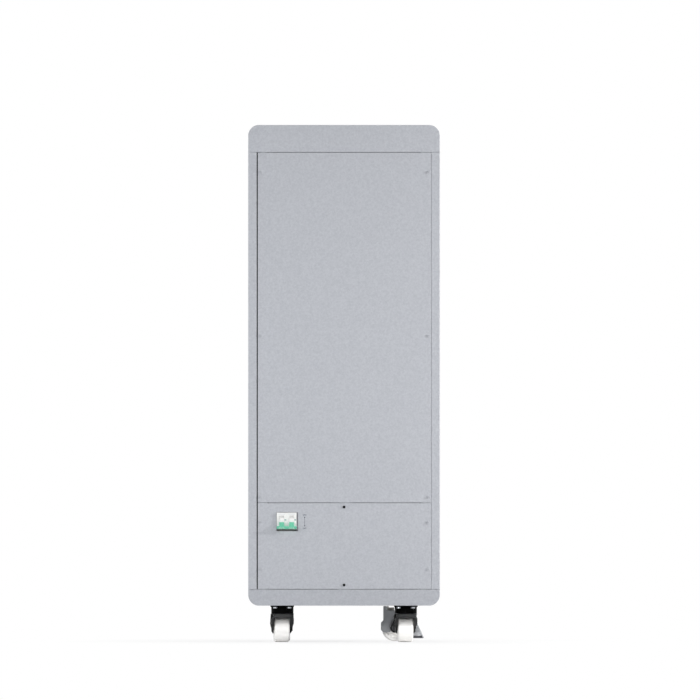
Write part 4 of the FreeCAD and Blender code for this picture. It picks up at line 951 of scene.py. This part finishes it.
def make_floor():
    deselect()
    bpy.ops.mesh.primitive_plane_add(size=60.0, location=(0, 0, 0))
    floor = bpy.context.object
    floor.name = "studio_floor"
    material = bpy.data.materials.new("white_studio_floor")
    material.use_nodes = True
    tree = material.node_tree
    tree.nodes.clear()
    paper = add(tree, "ShaderNodeBsdfDiffuse", {"Color": (0.9, 0.9, 0.9, 1.0)})
    glow = add(tree, "ShaderNodeEmission", {"Color": (1.0, 1.0, 1.0, 1.0), "Strength": 1.0})
    rays = add(tree, "ShaderNodeLightPath")
    # Seen from the camera, the floor turns to plain white away from the object, past its shadow
    place = add(tree, "ShaderNodeTexCoord")
    away = add(tree, "ShaderNodeVectorMath", {"operation": "LENGTH"}, {0: place.outputs["Object"]})
    fade = add(tree, "ShaderNodeMapRange",
               {"From Min": 0.35, "From Max": 0.8, "To Min": 0.78, "To Max": 1.0},
               {"Value": away.outputs["Value"]})
    part = add(tree, "ShaderNodeMath", {"operation": "MULTIPLY"},
               {0: rays.outputs["Is Camera Ray"], 1: fade.outputs["Result"]})
    mixed = add(tree, "ShaderNodeMixShader",
                links={0: part.outputs["Value"], 1: paper.outputs["BSDF"], 2: glow.outputs["Emission"]})
    add(tree, "ShaderNodeOutputMaterial", links={"Surface": mixed.outputs["Shader"]})
    floor.data.materials.append(material)


def make_world():
    # Soft studio light, white wherever the camera, gloss or glass sees it
    world = bpy.data.worlds.new("studio")
    bpy.context.scene.world = world
    world.use_nodes = True
    tree = world.node_tree
    tree.nodes.clear()
    rays = add(tree, "ShaderNodeLightPath")
    clear = add(tree, "ShaderNodeMath", {"operation": "MAXIMUM"},
                {0: rays.outputs["Is Glossy Ray"], 1: rays.outputs["Is Transmission Ray"]})
    seen = add(tree, "ShaderNodeMath", {"operation": "MAXIMUM"},
               {0: rays.outputs["Is Camera Ray"], 1: clear.outputs["Value"]})
    white = add(tree, "ShaderNodeBackground", {"Color": (1.0, 1.0, 1.0, 1.0), "Strength": 1.0})
    soft = add(tree, "ShaderNodeBackground", {"Color": (0.97, 0.98, 1.0, 1.0), "Strength": 0.42})
    mixed = add(tree, "ShaderNodeMixShader", links={
        0: seen.outputs["Value"], 1: soft.outputs["Background"], 2: white.outputs["Background"]})
    add(tree, "ShaderNodeOutputWorld", links={"Surface": mixed.outputs["Shader"]})


def aim(name, data, place, target):
    # Lamp at a place, turned to a target
    lamp = bpy.data.objects.new(name, data)
    bpy.context.scene.collection.objects.link(lamp)
    lamp.location = place
    lamp.rotation_euler = (Vector(target) - Vector(place)).to_track_quat("-Z", "Y").to_euler()
    lamp.visible_camera = False


def make_light(name, place, target, size, power, colour):
    # Round lamp
    data = bpy.data.lights.new(name, "AREA")
    data.shape = "DISK"
    data.size = size
    data.energy = power
    data.color = colour
    aim(name, data, place, target)


def make_snoot(name, place, target, radius, power):
    # Narrow round beam that stays under the tray
    distance = (Vector(target) - Vector(place)).length
    data = bpy.data.lights.new(name, "SPOT")
    data.energy = power
    data.spot_size = 2 * math.atan(radius / distance)
    data.spot_blend = 0.3
    data.shadow_soft_size = 0.02
    aim(name, data, place, target)


def make_camera():
    # Far camera with a long lens, which frames this width at the cabinet's face
    data = bpy.data.cameras.new("camera")
    camera = bpy.data.objects.new("camera", data)
    bpy.context.scene.collection.objects.link(camera)
    distance = 60.0
    frame_width = 1.9005
    data.sensor_width = 36.0
    data.lens = data.sensor_width * distance / frame_width
    data.clip_end = 200.0
    camera.location = (0.0162, front_y - distance, 0.794)
    camera.rotation_euler = (math.radians(90), 0.0, 0.0)
    bpy.context.scene.camera = camera


warm_white = (1.0, 0.99, 0.98)
cool_white = (0.98, 0.99, 1.0)

make_floor()
make_world()
make_light("key", (1.4, -1.9, 0.95), (0.0, front_y, 0.9), 0.6, 5.0, warm_white)
make_light("fill", (-1.5, -1.8, 0.9), (0.0, front_y, 0.9), 0.8, 15.5, cool_white)
make_light("rim", (2.6, -0.96, 1.15), (0.0, front_y, 0.6), 0.25, 53.0, warm_white)
make_light("back", (-1.1, 2.5, 1.1), (0.0, back_y, 0.75), 1.0, 34.0, warm_white)
make_light("top", (0.0, 0.1, 3.6), (0.0, 0.0, 1.4), 1.0, 17.0, (1.0, 1.0, 1.0))
make_snoot("wheels_left", (-0.168, -2.4, 0.35), (-0.168, -0.13, 0.028), 0.052, 56.0)
make_snoot("wheels_right", (0.172, -2.4, 0.35), (0.172, -0.13, 0.028), 0.05, 56.0)
make_camera()

bpy.context.scene.view_settings.view_transform = "Standard"

deselect()
